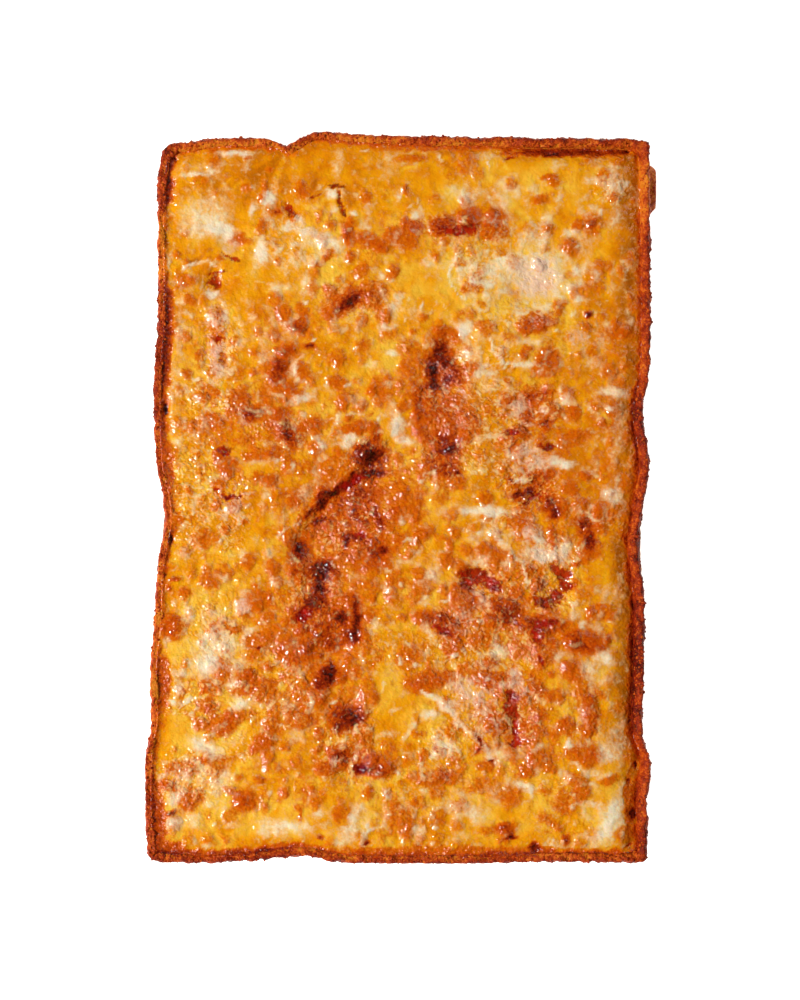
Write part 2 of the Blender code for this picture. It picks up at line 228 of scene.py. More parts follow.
# Lamps: (place and size in metres, power in watts, colour). The camera looks straight down from
# CAMERA_HEIGHT metres above the rim; its lens and sensor are in millimetres.
KEY_LAMP = ((-1.86, -0.48, 1.92), 0.32, 87.0, (1.0, 0.98, 0.94))
FILL_LAMP = ((1.0, 1.0, 1.2), 1.0, 7.0, (1.0, 0.98, 0.96))
FLOOR_HALF = 3.0
FLOOR_ROUGHNESS = 0.9
FLOOR_GLOW = 1.0
WORLD_LIGHT = 0.03
CAMERA_X = -0.52 * MM
CAMERA_Y = -1.0 * MM
CAMERA_HEIGHT = 1.517
CAMERA_LENS = 120.0
CAMERA_SENSOR = 36.0

# Colours as they look in daylight, red, green and blue to 255
CHEESE_PALE = (247, 192, 60)
CHEESE_GOLD = (241, 164, 10)
CHEESE_AMBER = (226, 135, 2)
CHEESE_DEEP = (192, 104, 4)
TOAST_ORANGE = (221, 114, 3)
TOAST_BROWN = (203, 82, 2)
# The two scorch colours also paint shade: in the pits, in the furrow and at the foot of the banks.
SCORCH_AND_SHADE_RED = (146, 36, 6)
SCORCH_AND_SHADE_BLACK = (58, 10, 5)
# The soft milk, pink and peach colours also paint glints on the wrinkles and browned spots.
MILK_SOFT = (246, 210, 136)
MILK_BRIGHT = (250, 236, 208)
MILK_PINK_SHEEN = (238, 188, 164)
GLINT_PEACH = (246, 178, 74)
SAUCE_RED = (182, 22, 6)
SAUCE_DARK = (112, 8, 3)
RIM_BLACK = (70, 8, 3)
RIM_DARK = (128, 26, 5)
RIM_RED = (176, 58, 10)
RIM_ORANGE = (214, 98, 22)
RIM_GOLD = (222, 128, 28)
DOUGH_PALE = (230, 190, 122)
DOUGH_GOLD = (206, 142, 62)
DOUGH_BROWN = (158, 88, 34)
CHAR_BROWN = (96, 44, 18)
FLOOR_WHITE = (250, 250, 250)

# Marks on the cheese, in the part's frame: (x, y, half length, half width, turn in degrees, strength)

# Browned blisters
TOASTED = (
    (-24, 120, 5, 2.6, 95, 0.7), (-34, 110, 3, 2, 50, 0.6), (-39, 106.5, 3, 1.6, 0, 0.5),
    (-17, 119, 3.4, 2, 0, 0.62), (-11, 115, 5, 3, -30, 0.6), (-3, 119, 4.5, 3.5, 0, 0.62),
    (-25, 89, 8, 4, 35, 0.74), (-33, 84, 3, 3, 0, 0.55), (-13, 92, 6, 4, 40, 0.58),
    (-8, 84, 5, 3.4, 80, 0.5), (-48, 78, 4.6, 2.6, -15, 0.72), (-53, 67, 4, 2.4, 0, 0.7),
    (-56, 57, 5.5, 4, 80, 0.78), (-52, 50, 3.4, 3, 0, 0.6), (-84, 76, 10, 3.4, 88, 0.5),
    (-99, 99, 4, 2.4, -20, 0.5), (-63, 137, 2.8, 1.6, 60, 0.6), (-75, 118, 4.5, 3, 0, 0.62),
    (-60, 149.5, 1.8, 1.4, 0, 0.62), (-70, 155, 1.8, 1.3, 0, 0.6), (4, 154.5, 7, 2, 3, 0.52),
    (22, 146, 3, 3, 0, 0.36), (31, 155, 5, 2, -30, 0.46), (67, 146, 3.4, 1.6, 10, 0.56),
    (63, 136, 4.4, 2, 15, 0.54), (5, 123, 4, 3, 0, 0.7), (3, 117, 4.5, 4, 0, 0.55),
    (19, 124, 5, 3.6, 10, 0.74), (31, 127.5, 5, 4.6, 0, 0.72), (43, 127, 5, 4.2, 20, 0.66),
    (43, 121, 6, 3.4, 0, 0.56), (67, 122.5, 2.6, 3.2, 0, 0.5), (86.5, 125, 4.8, 4.8, 0, 0.5),
    (86.5, 124.5, 1.9, 1.8, 0, 0.76), (76, 115, 4.6, 3.2, 0, 0.5), (32, 111, 2.6, 4, 0, 0.4),
    (33, 97, 5, 4, 0, 0.5), (63, 106, 2.3, 2.8, 0, 0.6), (88, 101, 4, 7, -20, 0.46),
    (84, 94, 3, 3, 0, 0.46), (78, 95, 2, 2.4, 0, 0.46), (62, 80, 8.5, 4.6, 10, 0.62),
    (72, 88, 3.4, 2.4, 0, 0.54), (85, 83.4, 1.5, 1.4, 0, 0.9), (38, 78, 5, 2.8, -10, 0.5),
    (31, 84, 3.4, 3, 0, 0.44), (49, 74, 4, 2.6, 0, 0.44), (56, 65, 2, 2, 0, 0.56),
    (67, 63, 5, 4.6, 0, 0.64), (65, 57, 4, 2.4, 0, 0.56), (99, 76, 5.6, 3.2, 0, 0.56),
    (98, 66, 5, 9, 0, 0.42), (107, 87, 3.2, 3.4, 0, 0.54), (19, 74, 5, 4, 0, 0.6),
    (3, 68, 5.5, 4, 0, 0.46), (4, 59, 5.5, 4, 0, 0.5), (-88, 47, 5, 4, 0, 0.5), (-74, 44, 5, 5, 0, 0.6),
    (-68, 38, 4.6, 3, 20, 0.74), (-86, 35, 5.5, 3.2, 0, 0.56), (-94, 32.5, 5.5, 3, 0, 0.5),
    (-57, 34, 5.5, 3.2, -15, 0.6), (-51, 28.5, 5.6, 4, -50, 0.76), (-62, 20, 8, 2.8, 10, 0.52),
    (-82, 18, 3.6, 4.6, 0, 0.6), (-79, 12, 3, 4, 0, 0.6), (-60, 7.5, 3.6, 2.6, 0, 0.6),
    (-49, 13, 4.4, 3, 0, 0.44), (-42, 33, 5, 2.6, 20, 0.6), (-59, 42, 9, 2, 5, 0.42),
    (-25, 46, 3.4, 4.6, 0, 0.46), (-9, 49, 4.6, 7, 10, 0.52), (-19, 32, 7, 3, 10, 0.6),
    (-28, 14, 8, 5.4, 20, 0.5), (-90, -19, 5.2, 4.6, 0, 0.5), (-87, -37, 4.4, 4.4, 0, 0.52),
    (-66, -47, 6, 4.4, 0, 0.56), (-103, -37, 2.6, 1.1, 10, 0.7), (-106, -41, 1.3, 1.4, 0, 0.7),
    (-105, -59, 5, 6, 15, 0.64), (-56, -3, 6, 4, 0, 0.42), (-44, -33, 7, 6, 0, 0.52),
    (-16, -41, 6, 4.4, 0, 0.46), (-3, -40, 3.6, 6, -20, 0.5), (-84, -60, 4.6, 3.2, 0, 0.52),
    (-77, -60, 4, 2, 0, 0.5), (-65, -65, 6, 3.4, 0, 0.54), (-49, -70, 8, 4.6, -15, 0.66),
    (-58, -62, 5, 4, 0, 0.5), (-35, -62, 5, 5, 0, 0.7), (-82, -77, 4.4, 4.2, 0, 0.52),
    (-87, -86, 4, 3, -10, 0.55), (-70, -83, 3, 5, -15, 0.66), (-62, -88, 4.6, 5, 0, 0.56),
    (-50, -82, 4.6, 3.4, 0, 0.48), (-45, -89, 4.6, 3.2, 0, 0.52), (-37, -87, 3.6, 7, -15, 0.62),
    (-46, -101, 5.4, 4, 0, 0.56), (-79, -103, 5.6, 3.4, 55, 0.66), (-87, -104, 4.4, 1.8, -35, 0.52),
    (-58, -101, 2.8, 7.5, -10, 0.5), (-62, -111, 5, 3.8, 30, 0.6), (-16, -90, 3, 9, -5, 0.46),
    (-25, -100, 7.4, 5, 0, 0.78), (-17, -111, 4, 6.5, 0, 0.52), (-28, -117, 4.6, 4.4, 0, 0.74),
    (-34, -123.5, 4.6, 3, 0, 0.6), (-13, -122, 9, 4.6, -5, 0.7), (-5, -116, 4, 7, 0, 0.46),
    (-87, -119.5, 8, 2, 3, 0.56), (-101, -123, 6.5, 3, 10, 0.52), (-85, -124, 4.4, 2.4, 0, 0.52),
    (-106, -131, 4, 2.4, -20, 0.66), (-97, -137.5, 5.2, 4.8, 0, 0.56), (-71, -138, 5, 4.6, 0, 0.64),
    (-105, -143.5, 2.4, 1.2, 20, 0.86), (-60, -122, 3.4, 3, 0, 0.42), (-53, -134.5, 2.2, 2.2, 0, 0.52),
    (-46, -145, 0.9, 2.4, 0, 0.62), (-27, -144, 3.8, 4.6, 0, 0.5), (-3, -144, 4.4, 6, 0, 0.5),
    (-104, -148, 3.4, 3.4, 0, 0.5), (2, 50, 5, 4.4, 0, 0.46), (3, -3, 5.6, 5.4, 0, 0.54),
    (10, -17, 5.8, 3, 40, 0.54), (5, -24, 4.6, 2, 50, 0.46), (22, -22, 1.7, 3.4, 0, 0.56),
    (22, -8, 4, 2.6, 0, 0.46), (42, -25.5, 8, 3, -10, 0.54), (52, -32, 3.4, 4.4, 0, 0.46),
    (13, 43, 7.4, 8, 0, 0.62), (16, 33, 8, 7, 0, 0.62), (31, 35, 5, 6.4, 20, 0.58),
    (18, 15, 8, 5.4, 0, 0.68), (62, 9, 7.4, 3.4, 15, 0.68), (55, -9, 5, 5, 0, 0.54),
    (57, -15, 5, 4, 0, 0.5), (69, -18, 2, 6, 10, 0.58), (83, -24, 2.4, 6, 10, 0.54),
    (60, 41, 8, 7, 0, 0.54), (70, 40, 5, 3, -30, 0.54), (52, 29, 6, 3, 10, 0.6),
    (77, 26, 6, 2.6, 10, 0.54), (82, 29, 5, 2, 0, 0.54), (92, 43, 6, 3.4, 0, 0.46),
    (95, 12, 4.4, 7, 0, 0.42), (94, -5, 6, 3, 0, 0.5), (92, -52, 6, 3.4, 0, 0.52),
    (28, -46, 5, 7, 30, 0.6), (47, -50, 7.4, 4, -10, 0.66), (10, -40, 5, 4.4, 0, 0.52),
    (17, -56, 9, 3.4, -10, 0.74), (24, -66, 4.4, 6.4, 0, 0.58), (38, -65, 6, 4, 0, 0.52),
    (64, -58, 9, 3.8, 0, 0.72), (66, -68, 4.4, 7, 10, 0.56), (84, -66, 9.4, 5, -5, 0.68),
    (78, -78.5, 5, 4.4, 0, 0.58), (97, -73, 2.8, 3.4, 0, 0.4), (3, -73, 6.4, 5.4, 0, 0.52),
    (10, -84.5, 7.4, 4.2, 0, 0.62), (19, -82, 5, 3, 0, 0.6), (44, -83, 7, 3.4, -5, 0.62),
    (62, -87, 3.2, 3.4, 0, 0.6), (69, -90, 4.8, 2.8, 0, 0.54), (83, -89.5, 5, 2.2, -5, 0.54),
    (86.5, -98, 3.2, 8.6, 0, 0.62), (44, -103, 5.4, 4.6, 0, 0.6), (58, -107, 6.4, 6, 0, 0.56),
    (86, -117, 5.4, 5, 0, 0.6), (63, -118, 5.6, 3.4, 0, 0.54), (57, -124.5, 3.4, 3.4, 0, 0.56),
    (20, -127, 5.6, 3.4, 0, 0.6), (10, -127.5, 7, 2.8, 0, 0.52), (36, -131, 6.4, 3.4, 20, 0.48),
    (50, -135.5, 4.4, 5, 0, 0.52), (80, -129, 6, 3, -25, 0.5), (95, -128, 4.6, 2.2, 15, 0.52),
    (104, -117, 3.4, 5.4, 0, 0.44), (75, -139, 6, 5.4, -30, 0.5), (17, -146, 4, 4, 0, 0.46),
    (66, -146, 3.4, 2.6, 0, 0.5), (75, -156, 1.6, 2.8, 0, 0.78), (47, -151, 4.6, 2.4, -15, 0.74),
    (3, -149, 4, 7, 0, 0.5), (66, -133, 2.6, 2.6, 0, 0.44),
)

# Darker, scorched places, and thin dark lines at the foot of the banks' drops, which are painted shade
SCORCH_AND_BANK_SHADE = (
    (-23.5, 89.5, 4.6, 1.8, 35, 0.92), (-41, 69, 2.4, 0.9, -10, 0.84), (-51, 27.5, 2.6, 1.8, -40, 0.88),
    (-70, 37.5, 2, 1.4, 0, 0.84), (18, 67.5, 3.4, 3.4, 0, 0.92), (14, 60, 3, 5, 0, 0.96),
    (20.5, 61, 3.4, 3.4, 0, 0.86), (15, 53, 2.4, 4, 0, 0.92), (22, 54, 4, 2.6, 0, 0.84),
    (7, 43, 0.9, 6.5, 8, 0.72), (22, 24, 5.4, 4, 0, 0.88), (21.5, 21.5, 2.6, 1.8, 0, 0.96),
    (19, 12.5, 3.4, 2, 0, 0.8), (25, 11.5, 1.3, 1.3, 0, 0.97), (-13.5, 18, 5.6, 5.4, 0, 0.97),
    (-17.5, 22, 4.6, 3, 30, 0.84), (-11, 28.5, 2, 3, 0, 0.78), (-15, 10.4, 7, 1.5, 5, 1.0),
    (-22, 8.4, 4, 1.8, 40, 0.93), (-31, 2.4, 5.4, 1.5, 25, 1.0), (-36.5, -2, 2, 3, 0, 0.98),
    (-42, -7.4, 5.6, 0.9, 38, 0.88), (-37.5, -10.5, 3, 1.6, 30, 0.93), (-20, 1, 8, 4.6, 15, 0.78),
    (-28, -8, 12, 6, 10, 0.64), (-10, -10, 1.8, 5.4, 20, 0.82), (-20, -18, 5.4, 2, -10, 0.88),
    (-25, -20.5, 1.6, 2, 0, 0.92), (-12, -25, 6, 5.4, 0, 0.78), (-8, -24, 1.4, 1.4, 0, 0.93),
    (-46.5, -23.5, 4.2, 4.4, 0, 0.94), (-47, -32, 4, 3.4, 0, 0.72), (-36, -33, 4.6, 4.2, 20, 1.0),
    (-36.5, -42, 3, 6, 5, 0.9), (-40.5, -48, 3.4, 3.6, 20, 0.88), (-45.5, -54, 4.6, 4, 20, 0.84),
    (-34, -51, 3, 3.4, 0, 0.72), (-27, -55, 3, 3, 0, 0.95), (-20.3, -55, 1.7, 7, 0, 0.96),
    (-22, -63, 3, 3, 0, 0.93), (-32, -66, 4, 3, 0, 0.8), (-32.5, -80, 3.2, 4, -15, 1.0),
    (-37, -84, 2.4, 3, 0, 0.84), (-22.5, -100, 4, 3.2, 0, 0.93), (-28, -104.5, 4, 2, 0, 0.8),
    (-18.5, -124, 2.8, 2.2, 0, 1.0), (-12, -124, 4, 2, 0, 0.8), (-27.5, -118.5, 2.6, 2, 0, 0.82),
    (-16.5, -157, 1.7, 1.1, 30, 0.98), (-37, -154, 1.1, 0.9, 0, 0.86), (-65, -68, 0.9, 0.9, 0, 0.95),
    (53, 1, 3, 1.8, 10, 0.97), (58, 3, 2.4, 1.2, 30, 0.9), (50, 8, 2.4, 0.9, -30, 0.86),
    (68, -3, 4, 4, 0, 0.82), (70, -7.4, 2, 2, 0, 0.9), (84, -13.5, 3.6, 4.6, 30, 0.84),
    (86, -20, 2, 3.4, 0, 0.9), (60, 46, 6, 2, 15, 0.74), (57, 36, 2.2, 2, 0, 0.74),
    (66, 34.5, 3, 1.3, 10, 0.84), (49, -54, 5, 4, 0, 0.82), (20, -61, 3.6, 1.8, -20, 0.84),
    (81, -67, 4, 2, 0, 0.78), (41.5, -120, 1.5, 1.1, 0, 0.93), (35.5, -110, 0.8, 3.4, 35, 0.93),
    (35, -115, 0.7, 2, -30, 0.86), (16, -115, 0.7, 1.7, 25, 0.84), (49.8, -155, 2.8, 0.9, 8, 1.0),
    (-56, 130, 1.2, 0.8, 0, 0.86), (-80, 0.6, 4.6, 0.8, -5, 0.8), (8, -159, 1, 0.6, 0, 0.8),
    (-106, 76, 2, 3.2, 20, 0.86), (102, -18.5, 1.2, 1.6, 0, 0.86), (-48, 128.5, 1, 2.8, 35, 0.84),
)

# Milky patches of white cheese
MILKY = (
    (-91, 133, 10, 5.4, 10, 0.62), (-88, 126, 10, 6.4, 10, 0.76), (-81.5, 121.5, 6.4, 3.2, -20, 0.95),
    (-94, 123.5, 6, 3, 0, 0.66), (-60.5, 136.5, 2.8, 3.8, -30, 0.96), (-68, 131, 1.9, 4, -15, 0.85),
    (-58, 143, 1.6, 4.4, -20, 0.5), (-64, 111.5, 3.4, 5.4, 0, 1.0), (-46, 127, 2.8, 1.8, -30, 0.95),
    (-52, 122.5, 4.6, 1.8, 10, 0.85), (-42, 121, 5.4, 2, -15, 0.9), (-37.5, 116.5, 3, 4.4, 10, 0.72),
    (-43, 108, 4.4, 1.8, -40, 0.72), (-53, 104.5, 3, 3, 0, 0.56), (-31, 138.5, 4.4, 2.4, -10, 0.85),
    (-30.5, 115.5, 5, 1.9, -55, 0.85), (-52, 95.5, 5.2, 1.7, 5, 0.62), (-44, 93.5, 2, 3, 0, 0.62),
    (-29, 152.5, 2.4, 7, -8, 0.56), (-15, 158, 5, 0.9, 3, 0.75), (-6, 152, 8, 4.4, -20, 0.5),
    (-14, 131, 1.8, 4.4, -5, 0.56), (-16, 123, 3.4, 2, 0, 0.66), (-75, 157, 8, 1.2, 0, 0.92),
    (-92, 147.5, 8.4, 1.1, 6, 0.86), (-88, 151, 12, 1.6, 3, 0.56), (-70.5, 150.5, 1.6, 3.4, 0, 0.66),
    (-86, 92.8, 2.9, 2.2, 10, 0.95), (-79, 112.5, 3, 1.6, -30, 0.8), (-75.5, 115.5, 2, 2.6, 0, 0.66),
    (-86.5, 82.5, 2.6, 3.2, 20, 0.75), (-84, 66, 4.4, 4, 0, 0.75), (-82, 59, 4.6, 3.4, -20, 0.75),
    (-101, 74, 1.6, 6.4, 0, 0.62), (-97, 83, 1.4, 3.4, 40, 0.66), (-94, 76, 3.4, 2.2, 0, 0.56),
    (-72, 70.5, 2.8, 3, 0, 0.7), (-68, 82, 1.5, 3.2, -30, 0.66), (-60, 74.5, 5, 2.6, 0, 0.56),
    (-62.5, 66, 3.2, 4.4, 0, 0.56), (-48.5, 58.5, 2, 4.6, 15, 0.82), (-20, 79, 3.4, 3, 0, 0.6),
    (-31, 79, 2, 2.6, 0, 0.6), (-6.5, 77, 2.2, 1, -15, 0.8), (-13, 61, 3.4, 2, 20, 0.62),
    (-3, 87, 3.4, 3.6, 0, 0.75), (7, 129, 2.6, 3, 0, 0.85), (11.5, 108, 2.6, 4.4, 0, 0.66),
    (18, 114, 1.8, 4, 0, 0.6), (24, 117, 2.6, 4, 0, 0.6), (42, 103, 6, 3.4, 25, 0.78),
    (62, 101, 9.4, 8.4, 0, 1.0), (60, 112, 6, 3, -30, 0.62), (56, 118, 2.8, 5, -40, 0.7),
    (64, 117, 2.6, 2.8, 0, 0.85), (59, 126.5, 1.2, 4.6, 30, 0.66), (66, 127, 1.8, 5, -35, 0.66),
    (29, 138, 6.4, 3.8, 0, 0.72), (38, 139, 3, 2, 0, 0.6), (46.5, 136, 3, 4.4, 0, 0.7),
    (45, 142, 3, 2, 30, 0.66), (51.5, 146, 1.4, 4.6, -15, 0.56), (40, 156, 6, 1.8, 0, 0.62),
    (27, 153, 5.4, 2, -45, 0.5), (71, 151, 3, 3, 0, 0.66), (72, 136, 1.6, 6.4, -5, 0.66),
    (62, 142, 3, 2, 0, 0.56), (89, 144, 3, 2, 0, 0.66), (97, 142, 4.4, 4, 0, 0.75),
    (97.5, 128, 2.6, 6, -5, 0.66), (84, 130, 3.4, 2.6, 30, 0.62), (78, 121, 4.6, 1.6, -5, 0.76),
    (84, 116, 4.4, 2, 0, 0.6), (108, 136, 1.3, 4, 0, 0.66), (84, 105, 4.4, 3, 0, 0.6),
    (79, 98, 2, 5, -20, 0.62), (97, 97, 3.4, 4.4, 0, 0.56), (5, 84, 3, 4.4, 0, 0.6),
    (28.5, 76.5, 3.4, 3.8, 0, 0.95), (34, 66, 4.4, 4.8, 0, 0.68), (58.5, 71, 6, 1.5, -5, 0.76),
    (57, 61, 5.4, 1.4, 0, 0.85), (38, 57, 6, 2.8, 10, 0.75), (46, 68, 3.4, 5, 0, 0.62),
    (81, 73, 5, 5, 0, 0.62), (92, 71, 2, 4.4, 0, 0.6), (88, 61, 5.4, 3, -20, 0.62),
    (94, 78, 3, 2.6, 0, 0.56), (-104, 50, 1.8, 8.4, 0, 0.6), (-45.5, 45, 5.4, 2.6, 10, 0.8),
    (-56, 46, 5, 1.5, 0, 0.6), (-51, 36.5, 4.4, 1.4, -5, 0.6), (-37, 24, 1.9, 5.4, 5, 0.78),
    (-24.5, 26, 3, 2.8, 0, 0.88), (-20, 43.5, 3.4, 2.8, -20, 0.6), (-44.5, 2, 3.6, 5, 0, 0.62),
    (-66, -19, 2, 3.4, 0, 0.6), (-61, -25, 2.8, 4.2, 0, 0.6), (-74, -10, 1.4, 4.4, 0, 0.76),
    (-2, 33, 2.8, 4.6, 0, 0.92), (1.5, 26, 3, 2.6, 0, 0.84), (-76, -4, 4.4, 4, 0, 0.66),
    (-72, -26, 2.2, 3.2, 0, 0.7), (-98, -25.5, 1.8, 3.2, 0, 0.7), (-73, -49, 3.6, 3.6, 0, 0.88),
    (-96, -53, 3.4, 2.4, -20, 0.78), (-84, -54, 6, 4.4, -20, 0.66), (-85, -67, 5.4, 6.4, 0, 0.82),
    (-89, -76, 4, 4, 0, 1.0), (-78.5, -66, 2.8, 5, 30, 0.78), (-75, -76, 2.8, 3.4, 0, 0.76),
    (-100, -80, 5.4, 1.8, -5, 0.76), (-101.5, -87, 2.8, 3.2, 0, 0.76), (-104, -93, 2, 1, 0, 0.95),
    (-96, -92, 4.4, 1.3, 20, 0.84), (-96, -98, 4.4, 1, 30, 0.72), (-73, -94, 4.6, 2.8, 10, 0.85),
    (-68, -60, 3.4, 1.4, 0, 0.78), (-56, -75, 3.4, 1.4, 10, 0.66), (-49, -78, 4.6, 1.7, -15, 0.6),
    (-41, -93, 1.7, 5.4, 0, 0.7), (-51, -95, 3.4, 3, 0, 0.56), (-49, -108, 3.4, 4, 0, 0.6),
    (-90, -113, 7.4, 3.4, -25, 0.88), (-84, -116, 5.4, 2.6, -10, 0.72), (-97, -119, 4, 1.8, 0, 0.7),
    (-76, -111, 4.4, 2.8, 0, 0.6), (-27.5, -111, 3.4, 3, 0, 0.6), (-21.5, -117, 1.1, 4.6, -15, 0.66),
    (-30, -120, 1.8, 1.8, 0, 0.84), (-22.8, -127, 0.9, 3.6, -10, 0.6), (-94, -127, 9, 2.8, 0, 0.66),
    (-84, -131, 6, 3.4, 0, 0.72), (-104, -137, 3, 2.8, 0, 0.82), (-84, -137, 4.4, 3.4, 0, 0.62),
    (-104, -148, 4, 3.8, 0, 0.76), (-94, -147, 3.4, 3, 0, 0.75), (-52, -149.6, 14, 3, -3, 0.84),
    (-61, -152.5, 6, 2, 10, 0.72), (-50, -139.5, 4.4, 1.2, 25, 0.6), (-37, -144, 3.4, 1.6, 20, 0.78),
    (-22, -148, 3, 8, -20, 0.78), (-27, -155, 4.4, 3, 20, 0.7), (-7, -147, 2, 4.4, 0, 0.62),
    (-12, -59, 2.4, 3.4, 0, 0.7), (-6, -66.5, 1.7, 1.4, 0, 0.84), (-18, -76, 1, 4.6, 5, 0.66),
    (-87, -159, 3.4, 1.2, 0, 0.7), (75, 45, 3.2, 3.4, 0, 0.78), (99, 48, 5.4, 2.8, -15, 0.75),
    (99, 36, 3, 7.4, 0, 0.56), (87, 23, 1.8, 4.4, -5, 0.6), (86, 12, 2.2, 1.6, -40, 0.7),
    (97, 17, 2, 5, 0, 0.6), (96, 2, 4.2, 4, 0, 0.8), (54, 42, 2.8, 3.4, 0, 0.76),
    (65, 40, 1.7, 3.2, -30, 0.72), (58, 33.5, 5.6, 1.1, -5, 0.7), (56, 20, 8, 4.6, 15, 0.7),
    (63, 15.4, 4.4, 3, 0, 0.74), (73.5, 15.6, 6.4, 1.9, -12, 0.98), (54, 12, 4.4, 3, 30, 0.66),
    (54, 7.4, 4.4, 1.1, 10, 0.86), (40, 50, 8, 4, 0, 0.6), (41, 28, 6.4, 1.6, 10, 0.7),
    (34.5, 12.6, 3.8, 2.4, 0, 0.66), (39, -6, 10, 2.2, -3, 1.0), (41, -14, 6.4, 2.8, -35, 0.6),
    (45, -20, 5.4, 1.4, -42, 0.78), (65, -26.6, 8, 3.2, -20, 1.0), (62, -18.6, 5.6, 1.7, -32, 0.88),
    (74.5, -23, 2.6, 4.6, 0, 0.88), (14.5, -35, 2.6, 4.6, 0, 0.72), (16, -27, 2.8, 3.8, 0, 0.56),
    (11, -48, 2.6, 2, -30, 0.75), (36, -29, 4.4, 2.6, 0, 0.72), (37, -46, 2, 6.4, 45, 0.7),
    (29, -53, 4.4, 2.8, 0, 0.66), (100, -36, 2.8, 6.4, 0, 0.56), (94, -43, 6, 2.8, -10, 0.66),
    (79, -52, 2.8, 3.6, 0, 0.72), (13, -62, 2, 6, 35, 0.72), (44, -69, 3.8, 5, 0, 0.8),
    (93, -73, 4.4, 2.6, 0, 0.88), (85, -78, 3.8, 4.4, 0, 0.7), (92, -82.5, 5, 2.8, 0, 0.62),
    (28, -86, 5.4, 4.4, -30, 0.8), (34, -92.5, 5.4, 3.6, -30, 0.72), (52, -82, 2.4, 5.4, 10, 0.82),
    (56, -88, 2, 5.4, 20, 0.7), (13, -98.6, 4.4, 2.4, 0, 0.84), (20, -113, 4.2, 7, 45, 0.8),
    (45, -117, 5, 3.6, 0, 0.7), (9.5, -125, 0.9, 4, 10, 0.76), (56, -131, 5.4, 1.6, -10, 0.9),
    (59, -134, 1.4, 3.4, 10, 0.84), (42, -134, 3.8, 3.8, 0, 0.6), (26, -139.5, 8.4, 4, 0, 0.6),
    (34, -145, 4.4, 4, 0, 0.76), (94, -117, 4.2, 4, 0, 0.78), (98, -110, 6.4, 5.4, -30, 0.66),
    (104, -106, 2.4, 6, 0, 0.62), (76.5, -112, 1.4, 2.4, 0, 0.86), (96, -145, 4, 8, -25, 0.94),
    (92, -153, 5.4, 2.8, 30, 0.84), (100, -134, 3.4, 5.4, -10, 0.66), (69, -158, 5.6, 1.5, 5, 0.7),
    (88, -158.4, 6.4, 1.2, 8, 0.66), (8, -152, 2.4, 4.6, 10, 0.7), (28, -154, 4.4, 2.6, 0, 0.6),
    (74, -126.5, 1.9, 2.8, 30, 0.7),
)

# Pink cores of blisters and wrinkled skins over the sauce: partly the cheese's pink tint there, partly
# painted sheen
PINK_AND_SHEEN = (
    (-85, 70, 5, 16, 0, 0.9), (-78, 112, 5, 5, 0, 0.8), (-99, 99, 4, 3, 0, 0.8),
    (-33, 84, 3, 3.4, 0, 0.7), (-42, 124, 10, 10, 0, 0.35), (5, 123, 2.4, 2, 0, 0.9),
    (18, 123, 3, 2.4, 0, 1.0), (42, 128, 3, 2.6, 0, 0.8), (62, 99, 10, 9, 0, 0.8),
    (62, 80, 5, 3.4, 0, 0.9), (81, 73, 5, 5, 0, 0.8), (20, 57, 5, 5, 0, 0.7), (-78, 0, 8, 9, 0, 0.8),
    (-80, 36, 12, 8, 0, 0.5), (-73, -49, 4, 4, 0, 1.0), (-98, -137, 3, 3, 0, 0.9),
    (-75, -136, 3.4, 3.4, 0, 1.0), (-87, -38, 2.4, 2.4, 0, 0.8), (-82, -77, 3, 3, 0, 0.7),
    (58, 19, 10, 6, 0, 0.8), (55, 40, 7, 8, 0, 0.6), (55, -14, 5, 7, 0, 0.8), (66, -28, 9, 5, 0, 0.4),
    (65, -45, 8, 7, 0, 0.9), (34, -46, 7, 8, 0, 0.5), (27, -60, 7, 9, 0, 0.8),
    (34, -90, 10, 12, -30, 0.85), (54, -88, 5, 9, 0, 0.8), (40, -104, 5, 6, 0, 0.8),
    (5, -86, 3, 3, 0, 0.9), (83, -101, 3, 6, 0, 0.8), (83, -117, 2.6, 2, 0, 0.9), (75, -79, 2, 2, 0, 0.9),
    (20, -127, 3, 2, 0, 0.8), (-104, -126, 5, 3, 0, 0.6), (-101, -87, 3, 3, 0, 0.5),
    (-30, -118, 3, 4, 0, 0.7), (-26, -72, 4, 5, 0, 0.6), (26, 40, 8, 12, 0, 0.5),
)

